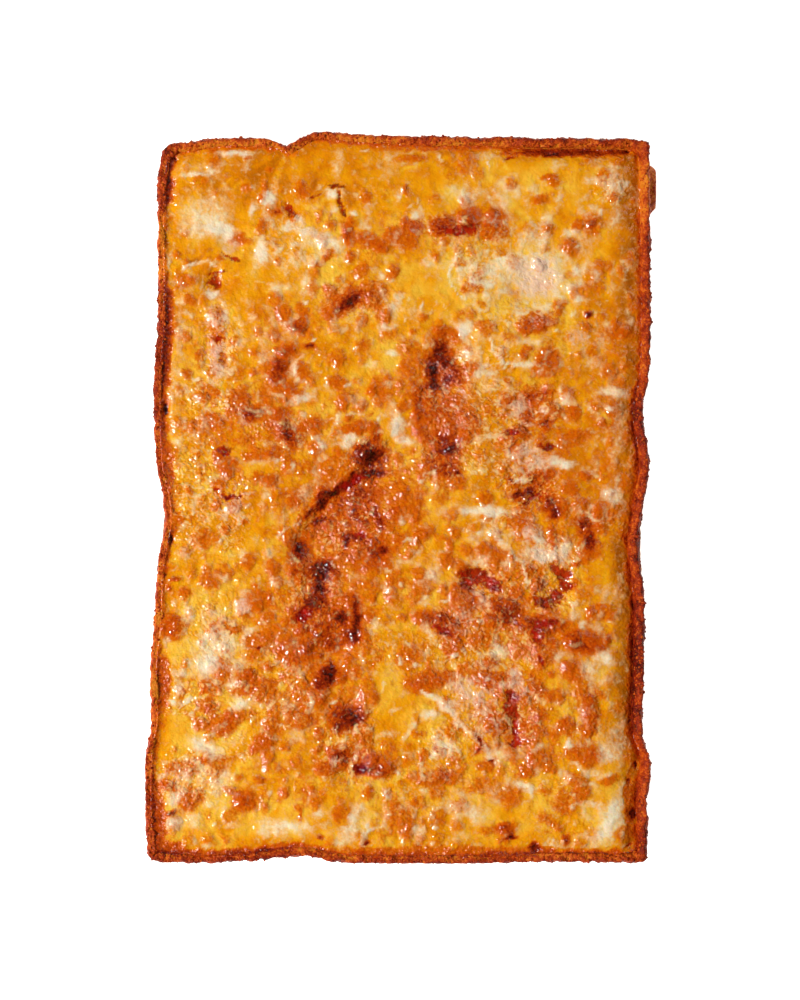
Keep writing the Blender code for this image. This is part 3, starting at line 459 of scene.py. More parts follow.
# Red stains where the sauce shows
SAUCY = (
    (-85.5, 98, 2.5, 2.4, 0, 1.0), (-83, 103, 4.4, 1, 12, 0.66), (-77.5, 109.6, 4, 0.9, -25, 0.86),
    (-51, 131, 1.3, 3.2, 25, 0.9), (-30, 142, 3.4, 0.8, 0, 0.78), (-28, 135, 0.9, 4.4, 5, 0.74),
    (-26, 130, 0.9, 2.4, 20, 0.72), (-39, 137, 3, 0.8, 30, 0.62), (25.5, 121.6, 6.6, 1.9, -4, 0.9),
    (31.5, 123, 2.6, 2, 0, 0.8), (-80.4, 21.6, 3, 1.3, 5, 0.86), (-83.5, 3, 2.2, 0.9, -10, 0.78),
    (-77, 0.6, 4, 1, 0, 0.78), (-83.4, 72.4, 1.9, 1.6, 0, 0.78), (-81, 64, 1.2, 4, 0, 0.62),
    (34, -35.4, 6.4, 3, -8, 1.0), (31, -39, 3, 2.2, 20, 0.9), (42, -40.4, 4, 2.4, -25, 0.84),
    (67.4, 23, 2.4, 1.6, 15, 1.0), (60, 0.6, 6, 2, 25, 0.66), (71.4, -33.6, 2, 4.4, 25, 0.95),
    (75.6, -35, 2.2, 1.9, 0, 0.95), (75.6, -40.4, 2.8, 1.8, -15, 1.0), (70.6, -45, 2.4, 3, 0, 0.84),
    (65, -47.6, 5, 2.4, -5, 0.72), (62, -62, 2.4, 5, 10, 0.76), (67, -57, 5, 1.6, 5, 0.8),
    (18, -60, 4, 1.3, -20, 0.74), (51, -94, 2.4, 5.6, 8, 1.0), (47.6, -95, 1.3, 2.4, 0, 0.86),
    (52.4, -107.4, 1.5, 5, 0, 1.0), (52, -112, 2.2, 1.4, 0, 0.9), (-20, 9, 4, 1.6, 30, 0.66),
    (-25, 5.4, 4, 1.4, 30, 0.7), (-19, -16.4, 3, 1.3, -15, 0.72), (-44.4, -53.4, 3.4, 2.4, 25, 0.72),
    (-19, -123.6, 2, 1.5, 0, 0.8), (63, 24, 2, 1, 10, 0.7), (50.6, 30, 3.4, 1.2, 5, 0.72),
    (63.4, -74, 1.1, 2.6, 15, 0.7),
)

# Strands of white cheese: (start x, y, end x, y, bow to the left, half width, strength)
STRANDS = (
    (-99, 103.6, -82, 104.4, 3.4, 0.9, 0.95), (-106.4, 110, -104.6, 102, -0.6, 0.8, 0.8),
    (-91, 102, -91.6, 94, 0.8, 0.9, 0.7), (-66, 98.6, -57, 95, 1.4, 0.6, 0.7),
    (-64, 101, -56, 98, 1.4, 0.5, 0.6), (-59, 124, -51, 107, -3, 0.7, 0.75),
    (-10, 96.4, -2.6, 88, -1.4, 1, 0.75), (8, 137, 14.4, 120, -1.2, 0.6, 0.75),
    (27, 112, 27.6, 90.6, -5.4, 0.8, 0.95), (31, 108, 38, 114, 1, 0.7, 0.7),
    (44, 100, 60, 118, -0.8, 0.6, 0.8), (12, 82, 22, 81, 8, 0.9, 0.72), (24, 67, 35, 79.4, -5, 0.5, 0.7),
    (41, 73, 57.6, 60.6, -5.6, 0.9, 0.98), (-32.6, 28, -17, 38, 4.4, 1, 0.76),
    (-56.6, -18, -46, -10.6, 0.6, 1, 0.75), (-101, 78, -100, 66, -1.6, 0.8, 0.7),
    (50, -25.4, 57, -39, 2.6, 0.9, 0.9), (79.6, -2, 101, -12.4, -3.4, 0.8, 0.8),
    (28, -13, 33, -19.6, 0, 0.6, 0.8), (9.6, -88.4, 24.6, -99, 1.2, 1.6, 1.0),
    (23, -98, 37, -112, -0.6, 1.2, 0.92), (37, -108.6, 41.4, -119, -1, 0.9, 0.92),
    (5.6, -100.4, 1.2, -110, 1, 1.1, 0.8), (79, -120.6, 95, -125.6, -3.4, 1.6, 0.86),
    (-18.6, -156, -9, -149.6, 1, 0.8, 0.88), (-23, -110.4, -15.6, -101, 0.4, 0.6, 0.6),
    (-56, -103, -45.6, -107, 0.8, 0.8, 0.72), (-110, -145, -107, -153.6, -0.8, 0.6, 0.72),
    (-36.4, -26.6, -30.6, -31.4, 0.4, 0.6, 0.76), (40, -148, 52, -146.6, 0.8, 0.8, 0.56),
    (34, 17, 42, 16.4, 1, 0.7, 0.76), (66.6, 26, 73, 23.6, 0.4, 0.6, 0.66),
    (-104, -98.6, -99, -94.6, 0.4, 0.7, 0.76), (-66, 3.4, -76, 0.6, 0.2, 0.8, 0.7),
    (-2, -66, -7, -59, 0.4, 0.7, 0.7),
)

# Broad zones that browned more than the rest, or less where the strength is negative
BROWNED = (
    (-28, -60, 20, 62, -12, 0.22), (-24, -5, 26, 18, 20, 0.22), (18, 42, 16, 30, 0, 0.26),
    (60, 20, 18, 45, 5, 0.14), (45, -48, 40, 26, 0, 0.19), (52, -100, 26, 28, 0, 0.17),
    (-70, -85, 34, 34, 0, 0.08), (-90, -125, 22, 22, 0, 0.02), (22, 122, 30, 7, 0, 0.12),
    (-84, 80, 12, 34, 0, 0.04), (-30, 88, 26, 10, 20, 0.12), (-55, 62, 16, 20, 0, 0.12),
    (80, -70, 20, 16, 0, 0.12), (-80, 30, 26, 22, 0, 0.08), (-45, 25, 30, 36, 0, 0.14),
    (90, 5, 22, 50, 0, 0.13), (0, 0, 18, 26, 0, 0.14), (-45, -46, 24, 26, 0, 0.14),
    (-46, -140, 24, 16, 0, 0.08), (90, 20, 14, 60, 0, 0.06), (50, 94, 34, 22, 0, -0.18),
    (-88, 125, 16, 14, 0, -0.14), (-46, 112, 16, 16, 0, -0.1), (-25, 150, 40, 10, 0, -0.08),
)

# Broad zones of a deeper gold, or a paler one where the strength is negative. Those along the right side
# and the top edge are painted shade on the slopes there; the rest is the cheese's own tone.
DEEPENED_AND_SHADED = (
    (-60, 148, 44, 22, 0, 0.26), (10, 150, 40, 18, 0, 0.12), (80, 146, 36, 20, 0, 0.06),
    (-60, 110, 40, 18, 0, 0.08), (104, 110, 9, 46, 0, 0.34), (94, 20, 24, 56, 0, 0.26),
    (104, -60, 8, 50, 0, 0.2), (-80, -80, 30, 40, 0, -0.16), (60, 20, 30, 30, 0, 0.1),
    (-92, -140, 24, 24, 0, -0.1), (46, 96, 30, 20, 0, -0.16), (-20, 100, 30, 30, 0, -0.08),
)

# Broad zones where more of the white cheese shows
PALED = (
    (56, 100, 30, 20, 0, 0.3), (46, 139, 18, 8, 0, 0.2), (92, 136, 10, 22, 0, 0.16),
    (-88, -72, 16, 16, 0, 0.22), (-92, -130, 14, 14, 0, 0.18), (-90, 128, 14, 12, 0, 0.24),
    (-44, 112, 18, 18, 0, 0.2), (60, -26, 14, 12, 0, 0.12), (34, -94, 18, 16, 0, 0.2),
    (56, 18, 12, 12, 0, 0.05), (42, 54, 14, 12, 0, 0.1), (94, -146, 14, 12, 0, 0.2),
    (-50, -150, 26, 6, 0, 0.1), (-82, 66, 10, 24, 0, 0.18), (98, 30, 10, 34, 0, 0.1),
    (-102, 70, 5, 44, 0, 0.18), (26, -141, 18, 8, 0, 0.16), (-20, -149, 10, 10, 0, 0.18),
    (34, 104, 18, 16, 0, 0.14), (-60, 84, 22, 16, 0, 0.1), (40, -10, 16, 10, 0, 0.12),
    (-94, 10, 10, 40, 0, 0.12), (-4, 30, 8, 12, 0, 0.12), (94, -76, 12, 12, 0, 0.14),
    (-86, 150, 20, 6, 0, 0.18), (-10, 152, 16, 8, 0, 0.16), (14, -34, 8, 10, 0, 0.14),
    (100, -112, 10, 12, 0, 0.2),
)

# Wrinkled skins: (x, y, half length, half width, direction of the wrinkles, strength)
WRINKLED = (
    (-94, 4, 12, 26, 165, 0.95), (-77, -8, 8, 22, 120, 0.95), (-83, 68, 9, 20, 120, 0.9),
    (-86, 44, 14, 14, 150, 0.7), (-86, -62, 16, 20, 120, 0.75), (-92, -92, 14, 12, 20, 0.8),
    (-95, -128, 16, 14, 60, 0.9), (-78, -112, 14, 10, 150, 0.6), (-60, -88, 22, 22, 60, 0.55),
    (-48, 118, 18, 14, 130, 0.45), (-20, 90, 20, 10, 30, 0.5), (20, 124, 16, 6, 160, 0.55),
    (44, 118, 14, 8, 60, 0.55), (36, 106, 14, 14, 55, 0.8), (62, 100, 12, 12, 135, 0.9),
    (52, 84, 20, 8, 150, 0.8), (44, 64, 12, 10, 20, 0.6), (44, 40, 20, 16, 155, 0.95),
    (46, 18, 20, 12, 165, 0.95), (20, 50, 12, 22, 120, 0.8), (20, 20, 12, 14, 110, 0.8),
    (-14, 16, 12, 12, 60, 1.0), (-26, -10, 22, 16, 50, 0.8), (-40, -44, 14, 24, 70, 0.8),
    (60, 40, 14, 12, 30, 0.9), (58, 4, 14, 10, 40, 0.95), (52, -12, 12, 10, 140, 0.7),
    (68, -34, 16, 20, 115, 0.95), (40, -44, 18, 14, 130, 0.95), (26, -64, 16, 16, 115, 1.0),
    (48, -68, 20, 16, 110, 0.9), (36, -92, 18, 18, 125, 1.0), (54, -94, 12, 18, 100, 0.95),
    (20, -112, 14, 14, 125, 0.7), (84, -98, 12, 16, 100, 0.5), (-24, -112, 16, 22, 60, 0.8),
    (14, -132, 26, 14, 140, 0.4), (70, -138, 20, 16, 120, 0.4), (94, 140, 10, 8, 60, 0.6),
    (-56, 30, 16, 10, 140, 0.5), (8, -70, 14, 14, 110, 0.5), (-12, -66, 8, 16, 110, 0.4),
    (78, 74, 14, 10, 40, 0.4), (90, -14, 12, 10, 145, 0.4),
)

# Places where the cheese melted smooth and clean: (x, y, half length, half width, turn, strength)
SMOOTH = (
    (-100, 138, 10, 12, 0, 0.8), (-60, 153, 22, 6, 0, 0.9), (-25, 150, 30, 8, 0, 0.8),
    (15, 148, 14, 9, 0, 0.8), (60, 150, 22, 7, 0, 0.9), (55, 136, 6, 12, 0, 0.8),
    (92, 112, 12, 6, 0, 0.9), (10, 98, 12, 8, 0, 0.7), (-70, 92, 14, 10, 0, 0.7),
    (-80, 124, 14, 14, 0, 0.6), (78, 134, 12, 12, 0, 0.6), (-34, 48, 10, 6, 0, 0.8),
    (-66, 13, 8, 4, 0, 0.7), (-20, -38, 9, 7, 0, 0.6), (-6, 4, 6, 12, 0, 0.7), (84, 20, 14, 24, 0, 0.6),
    (92, -30, 12, 20, 0, 0.8), (98, -84, 8, 20, 0, 0.7), (96, -128, 10, 30, 0, 0.6),
    (52, -144, 30, 10, 0, 0.5), (-50, -148, 34, 10, 0, 0.7), (-102, -108, 8, 8, 0, 0.8),
    (-100, -68, 8, 6, 0, 0.8), (14, -8, 14, 10, 0, 0.5), (-2, -90, 10, 24, 0, 0.5),
    (70, -82, 8, 6, 0, 0.5), (-68, 104, 10, 8, 0, 0.6), (-10, 62, 14, 10, 0, 0.4),
)

# Pits in the furrow, sunk a little and darkened with painted shade: (x, y, half length, half width, turn,
# depth)
PITS = (
    (107, -66, 1.7, 1.7, 0, 1.0), (107, -81, 1.4, 2.4, 0, 0.9), (107.5, -97, 1.6, 4, 0, 0.7),
    (106.6, -122, 1.7, 2.1, 0, 1.0), (104, -129, 1.5, 2.1, 20, 0.85), (106, -144, 2, 4.2, 8, 0.95),
    (104, -158.4, 2.6, 1.4, 20, 0.8), (108, -51, 1.8, 6, 0, 0.8), (104, -102.4, 0.8, 0.9, 0, 0.8),
    (-107.4, 40.6, 2, 3.8, 5, 1.0), (-105.6, -17.6, 1.8, 4.4, 10, 1.0), (-103.6, 155, 0.9, 2, 30, 1.0),
    (70, 157, 4.6, 1.2, -4, 1.0), (103, 158, 2.6, 1, -5, 0.95), (88, 158, 8, 1, 0, 0.75),
    (50, 155, 4, 1.2, 8, 0.8), (61, -160.4, 2.6, 2.6, 0, 0.85), (109, 37, 2, 6, 0, 0.7),
)

# Where the browning of the rim reaches further over the cheese; on the right and at the top this is partly
# painted shade in the furrow
EDGED = (
    (-109, -84, 4.5, 16, 0, 0.66), (-110, -22, 4, 12, 0, 0.68), (-107, 14, 4, 15, 0, 0.64),
    (-107, 75, 2.6, 20, 0, 0.78), (-111, -148, 4.5, 14, 0, 0.7), (-106, -159, 7, 3, 0, 0.7),
    (-50, -159, 14, 2.6, 0, 0.6), (61, -160, 4, 3, 0, 0.85), (106, -78, 2.2, 30, 0, 0.66),
    (104, -140, 3, 20, 0, 0.55), (20, -161, 60, 2.6, 0, 0.52), (75, 157, 30, 1.8, 0, 0.84),
    (12, 159, 30, 1.2, 0, 0.5),
)

# How dark the rim is fried: (place along the side, darkness)
LEFT_FRYING = (
    (-160, 0.7), (-140, 0.9), (-118, 0.45), (-95, 0.1), (-58, 0.1), (-30, 0.5), (-8, 0.3), (10, 0.6),
    (42, 0.7), (55, 0.9), (76, 1.0), (93, 0.85), (102, 0.2), (128, 0.15), (136, 1.0), (156, 1.0),
)
BOTTOM_FRYING = (
    (-110, 1.0), (-90, 0.7), (-62, 0.95), (-45, 0.6), (0, 0.7), (40, 0.75), (75, 0.6), (110, 0.7),
)
RIGHT_FRYING = (
    (-160, 0.75), (-120, 0.7), (-100, 0.9), (-55, 1.0), (-40, 0.8), (0, 0.8), (38, 1.0), (60, 0.7),
    (126, 0.7), (134, 0.1), (154, 0.1), (160, 0.9),
)
TOP_FRYING = (
    (-105, 0.9), (-98, 0.4), (-62, 0.45), (-50, 0.4), (-10, 0.5), (40, 0.5), (60, 0.75), (110, 0.8),
)

# How much darker the right rim's inner face is, along the side
RIGHT_INNER_CHAR = (
    (-160, 0.9), (-125, 0.7), (-100, 1.0), (-55, 1.0), (-42, 0.5), (20, 0.5), (38, 1.0), (60, 0.3),
    (160, 0.5),
)


def smoothstep(low, high, value):
    """0 below low, 1 above high, and an S-curve between them."""
    t = np.clip((value - low) / (high - low), 0.0, 1.0)
    return t * t * (3.0 - 2.0 * t)


def through(knots, at):
    """A smooth curve through (place, value) knots in rising order, level beyond the ends."""
    if at <= knots[0][0]:
        return knots[0][1]
    if at >= knots[-1][0]:
        return knots[-1][1]
    i = next(n for n in range(len(knots) - 1) if at <= knots[n + 1][0])
    (x0, y0), (x1, y1) = knots[i], knots[i + 1]
    before, after = knots[max(i - 1, 0)], knots[min(i + 2, len(knots) - 1)]
    span = x1 - x0
    slope0 = span * (y1 - before[1]) / (x1 - before[0])
    slope1 = span * (after[1] - y0) / (after[0] - x0)
    t = (at - x0) / span
    return (
        (2 * t**3 - 3 * t**2 + 1) * y0
        + (t**3 - 2 * t**2 + t) * slope0
        + (3 * t**2 - 2 * t**3) * y1
        + (t**3 - t**2) * slope1
    )


def relief(layers, x, y, z=0.0):
    """Smooth noise of several (wavelength, height) layers."""
    total = 0.0
    for number, (wavelength, height) in enumerate(layers):
        shift = 31.7 * number
        total += height * noise.noise(Vector((x / wavelength + shift, y / wavelength, z / wavelength)))
    return total


def grain(x, y, seed):
    """Smooth noise over arrays of places, about -1 to 1, with one swell to a unit."""
    x0, y0 = np.floor(x), np.floor(y)
    fx, fy = x - x0, y - y0

    def corner(dx, dy):
        chance = np.sin((x0 + dx) * 127.1 + (y0 + dy) * 311.7 + seed * 74.7) * 43758.5453
        turn = 2.0 * math.pi * (chance - np.floor(chance))
        return np.cos(turn) * (fx - dx) + np.sin(turn) * (fy - dy)

    sx, sy = (f * f * f * (f * (f * 6.0 - 15.0) + 10.0) for f in (fx, fy))
    lower = corner(0, 0) * (1.0 - sx) + corner(1, 0) * sx
    upper = corner(0, 1) * (1.0 - sx) + corner(1, 1) * sx
    return 1.5 * (lower * (1.0 - sy) + upper * sy)


class Side:
    """One side of the pizza, going anticlockwise seen from above."""

    def __init__(self, name, start, end, axis, rim, furrow, frying):
        self.name, self.start, self.end, self.axis = name, Vector(start), Vector(end), axis
        low, high = sorted((start[axis], end[axis]))
        self.rim = ((low, 0.0), *rim, (high, 0.0))
        self.furrow, self.frying = furrow, frying
        self.length = (self.end - self.start).length
        self.along = (self.end - self.start).normalized()
        self.outward = Vector((self.along.y, -self.along.x))
        self.steps = round(self.length / RIM_STEP)

    def point(self, share, inset, follow):
        """The place a share of the way along, moved in by inset, with follow of the rim's waviness."""
        nearest_end = min(share, 1.0 - share) * self.length
        slide, pull = 0.0, 0.0
        if nearest_end < CORNER_RADIUS:
            turn = math.radians(45) * (1.0 - nearest_end / CORNER_RADIUS)
            slide = CORNER_RADIUS * (1.0 - math.sin(turn)) - nearest_end
            pull = CORNER_RADIUS * (1.0 - math.cos(turn))
        if share > 0.5:
            slide = -slide
        start = self.start + inset * (self.along - self.outward)
        end = self.end - inset * (self.along + self.outward)
        out = float(follow) * through(self.rim, self.place_along(share)) - pull
        return start.lerp(end, share) + slide * self.along + out * self.outward

    def place_along(self, share):
        """The place that the rim's and the furrow's knots are given at."""
        return self.start.lerp(self.end, share)[self.axis]

    def furrow_depth(self, share):
        return through(self.furrow, self.place_along(share))


SIDES = (
    Side("left", TOP_LEFT, BOTTOM_LEFT, 1, LEFT_RIM, LEFT_FURROW, LEFT_FRYING),
    Side("bottom", BOTTOM_LEFT, BOTTOM_RIGHT, 0, BOTTOM_RIM, BOTTOM_FURROW, BOTTOM_FRYING),
    Side("right", BOTTOM_RIGHT, TOP_RIGHT, 1, RIGHT_RIM, RIGHT_FURROW, RIGHT_FRYING),
    Side("top", TOP_RIGHT, TOP_LEFT, 0, TOP_RIM, TOP_FURROW, TOP_FRYING),
)
LEFT, BOTTOM, RIGHT, TOP = range(4)


def rim_top(side, share):
    """Height of the rim's ragged top edge."""
    x, y = side.point(share, 0.0, 1.0)
    return RIM_HEIGHT + relief(RIM_CRAGS, x, y)


def furrow_inset(top, height):
    """How far in the rim's inner face has come at this height."""
    face_top = top - RIM_ROUNDING
    fall = (face_top - height) / (face_top - CRUMB_HEIGHT)
    return RIM_THICKNESS + INNER_SLOPE * max(0.0, fall)


def cheese_edge(number, share, overlap):
    """The cheese's outermost place at one station, reaching by overlap into the rim's inner face."""
    if share == 1.0:
        number, share = (number + 1) % len(SIDES), 0.0
    side = SIDES[number]
    height = RIM_HEIGHT - (1.0 - FILLET_RISE[side.name]) * side.furrow_depth(share)
    inset = furrow_inset(rim_top(side, share), height) - overlap
    place = side.point(share, inset, 1.0)
    return np.array((place.x, place.y, height))


def bank_drop(bank, x, y):
    """How far the cheese sinks below the puffed part beside one bank."""
    nearest = np.full(x.shape, 1e9)
    across, past_end = np.zeros(x.shape), np.zeros(x.shape)
    points = bank["points"]
    for number, ((ax, ay), (bx, by)) in enumerate(zip(points, points[1:])):
        lx, ly = bx - ax, by - ay
        t = ((x - ax) * lx + (y - ay) * ly) / (lx * lx + ly * ly)
        held = np.clip(t, 0.0, 1.0)
        gap = np.hypot(x - ax - held * lx, y - ay - held * ly)
        closer = gap < nearest
        square = (lx * (y - ay) - ly * (x - ax)) / math.hypot(lx, ly)
        beyond = ((t < 0.0) & (number == 0)) | ((t > 1.0) & (number == len(points) - 2))
        nearest = np.where(closer, gap, nearest)
        across = np.where(closer, np.where(beyond, square, gap * np.sign(square)), across)
        past_end = np.where(closer, np.abs(t - held) * math.hypot(lx, ly), past_end)
    low = smoothstep(-0.5 * BANK_STEEPNESS, BANK_STEEPNESS, across)
    rise = smoothstep(0.35 * bank["width"], bank["width"], across)
    return bank["depth"] * low * (1.0 - rise) * (1.0 - smoothstep(0.0, BANK_END_FADE, past_end))


def cheese_form(x, y, u, v):
    """Height of the melted cheese without its fine relief. u and v run from 0 to 1 across and up."""
    width, length = SIDES[BOTTOM].length, SIDES[LEFT].length
    across, up = u[:, :1], v[:1, :]
    edges = (
        (SIDES[LEFT], 1.0 - up, u * width),
        (SIDES[BOTTOM], across, v * length),
        (SIDES[RIGHT], up, (1.0 - u) * width),
        (SIDES[TOP], 1.0 - across, (1.0 - v) * length),
    )
    drops, inland, fillet = 0.0, 1.0, 0.0
    for side, shares, distance in edges:
        depth = np.vectorize(side.furrow_depth)(shares)
        lean = 1.0 - np.minimum(1.0, distance / SHOULDER[side.name])
        rounding = 0.4 * (1.0 - np.sqrt(np.maximum(0.0, 1.0 - lean * lean))) + 0.6 * lean**2
        fall = (CROWN_HEIGHT - RIM_HEIGHT + depth) * rounding
        drops = drops + np.maximum(0.0, fall) ** 4
        inland = inland * (1.0 - lean)
        near_rim = np.maximum(0.0, 1.0 - distance / FILLET_REACH[side.name])
        fillet = np.maximum(fillet, FILLET_RISE[side.name] * depth * near_rim**2)
    height = CROWN_HEIGHT - drops**0.25 + fillet
    height += inland * np.vectorize(lambda a, b: relief(SWELLS, a, b))(x, y)
    for bank in BANKS:
        height -= bank_drop(bank, x, y)
    for cx, cy, radius, depth in HOLLOWS:
        height -= depth * (1.0 - smoothstep(0.2, 1.0, np.hypot(x - cx, y - cy) / radius))
    return height


class Sheet:
    """The top of the cheese as a grid of places, with the fields that its looks are mixed from."""

    def __init__(self):
        columns, rows = CHEESE_COLUMNS, CHEESE_ROWS
        shares = np.linspace(0, 1, columns + 1), np.linspace(0, 1, rows + 1)
        self.u, self.v = np.meshgrid(*shares, indexing="ij")
        left = np.array([cheese_edge(LEFT, 1.0 - n / rows, EDGE_OVERLAP) for n in range(rows + 1)])
        right = np.array([cheese_edge(RIGHT, n / rows, EDGE_OVERLAP) for n in range(rows + 1)])
        low = np.array([cheese_edge(BOTTOM, n / columns, EDGE_OVERLAP) for n in range(columns + 1)])
        high = np.array([cheese_edge(TOP, 1.0 - n / columns, EDGE_OVERLAP) for n in range(columns + 1)])
        u, v = self.u[..., None], self.v[..., None]
        across = (1 - u) * left[None, :] + u * right[None, :]
        up = (1 - v) * low[:, None] + v * high[:, None]
        ends = (1 - v) * ((1 - u) * low[0] + u * low[-1]) + v * ((1 - u) * high[0] + u * high[-1])
        self.place = across + up - ends
        self.edge = np.minimum(
            np.minimum(self.u, 1 - self.u) * SIDES[BOTTOM].length,
            np.minimum(self.v, 1 - self.v) * SIDES[LEFT].length,
        )
        form = cheese_form(self.place[..., 0], self.place[..., 1], self.u, self.v)
        self.place[..., 2] = np.where(self.edge > 0.0, form, self.place[..., 2])
        self.x = self.place[..., 0] - PLAN_SHIFT[0]
        self.y = self.place[..., 1] - PLAN_SHIFT[1]
        self.warp(1.0)

    def blank(self):
        """A field of noughts."""
        return np.zeros(self.x.shape)

    def swell(self, size, seed):
        """Smooth noise with swells of this size in millimetres."""
        return grain(self.x / size, self.y / size, seed)

    def warp(self, strength):
        """Bends the places that marks are painted at, so that no mark is a plain oval."""
        (broad, much), (small, little) = MARK_BENDS
        self.mx = self.x + strength * (much * self.swell(broad, 1) + little * self.swell(small, 2))
        self.my = self.y + strength * (much * self.swell(broad, 3) + little * self.swell(small, 4))

    def oval(self, mark):
        """Where a mark reaches, and how far off its middle each place there is, 1 at its rim."""
        cx, cy, rx, ry, turn = mark[:5]
        size = MARK_REACH * max(rx, ry) + 1.0
        near = (np.abs(self.mx - cx) < size) & (np.abs(self.my - cy) < size)
        dx, dy = self.mx[near] - cx, self.my[near] - cy
        c, s = math.cos(math.radians(turn)), math.sin(math.radians(turn))
        return near, np.hypot((c * dx + s * dy) / rx, (c * dy - s * dx) / ry)

    def paint(self, field, marks, inner, outer):
        """Raises a field to each mark's strength in its middle, fading out past its rim."""
        for mark in marks:
            near, off = self.oval(mark)
            lack = np.maximum(0.0, mark[5] - field[near])
            field[near] += lack * (1.0 - smoothstep(inner, outer, off))

    def shift(self, field, marks, inner, outer):
        """Adds each mark's strength to a field in its middle, fading out past its rim."""
        for mark in marks:
            near, off = self.oval(mark)
            field[near] += mark[5] * (1.0 - smoothstep(inner, outer, off))

    def stroke(self, field, marks):
        """Paints bent strands: (start x, y, end x, y, bow, half width, strength)."""
        for ax, ay, bx, by, bow, half, strength in marks:
            lx, ly = bx - ax, by - ay
            length = math.hypot(lx, ly)
            dx, dy = self.mx - ax, self.my - ay
            t = (dx * lx + dy * ly) / length**2
            held = np.clip(t, 0.0, 1.0)
            side = (lx * dy - ly * dx) / length - bow * 4.0 * held * (1.0 - held)
            past = np.abs(t - held) * length
            off = np.hypot(side, past) / (half * (0.6 + 1.6 * held * (1.0 - held)))
            field += np.maximum(0.0, 0.85 * strength - field) * (1.0 - smoothstep(0.1, 2.1, off))


def scatter(draw, count, sizes, shapes, strengths):
    """Marks at random over the cheese. Size is the half length, and shape the half width's share of it."""
    marks = []
    for _ in range(count):
        long = draw.uniform(*sizes)
        place = draw.uniform(-STREWN_X, STREWN_X), draw.uniform(-STREWN_Y, STREWN_Y)
        half_width = long * draw.uniform(*shapes)
        marks.append((*place, long, half_width, draw.uniform(0, 180), draw.uniform(*strengths)))
    return marks


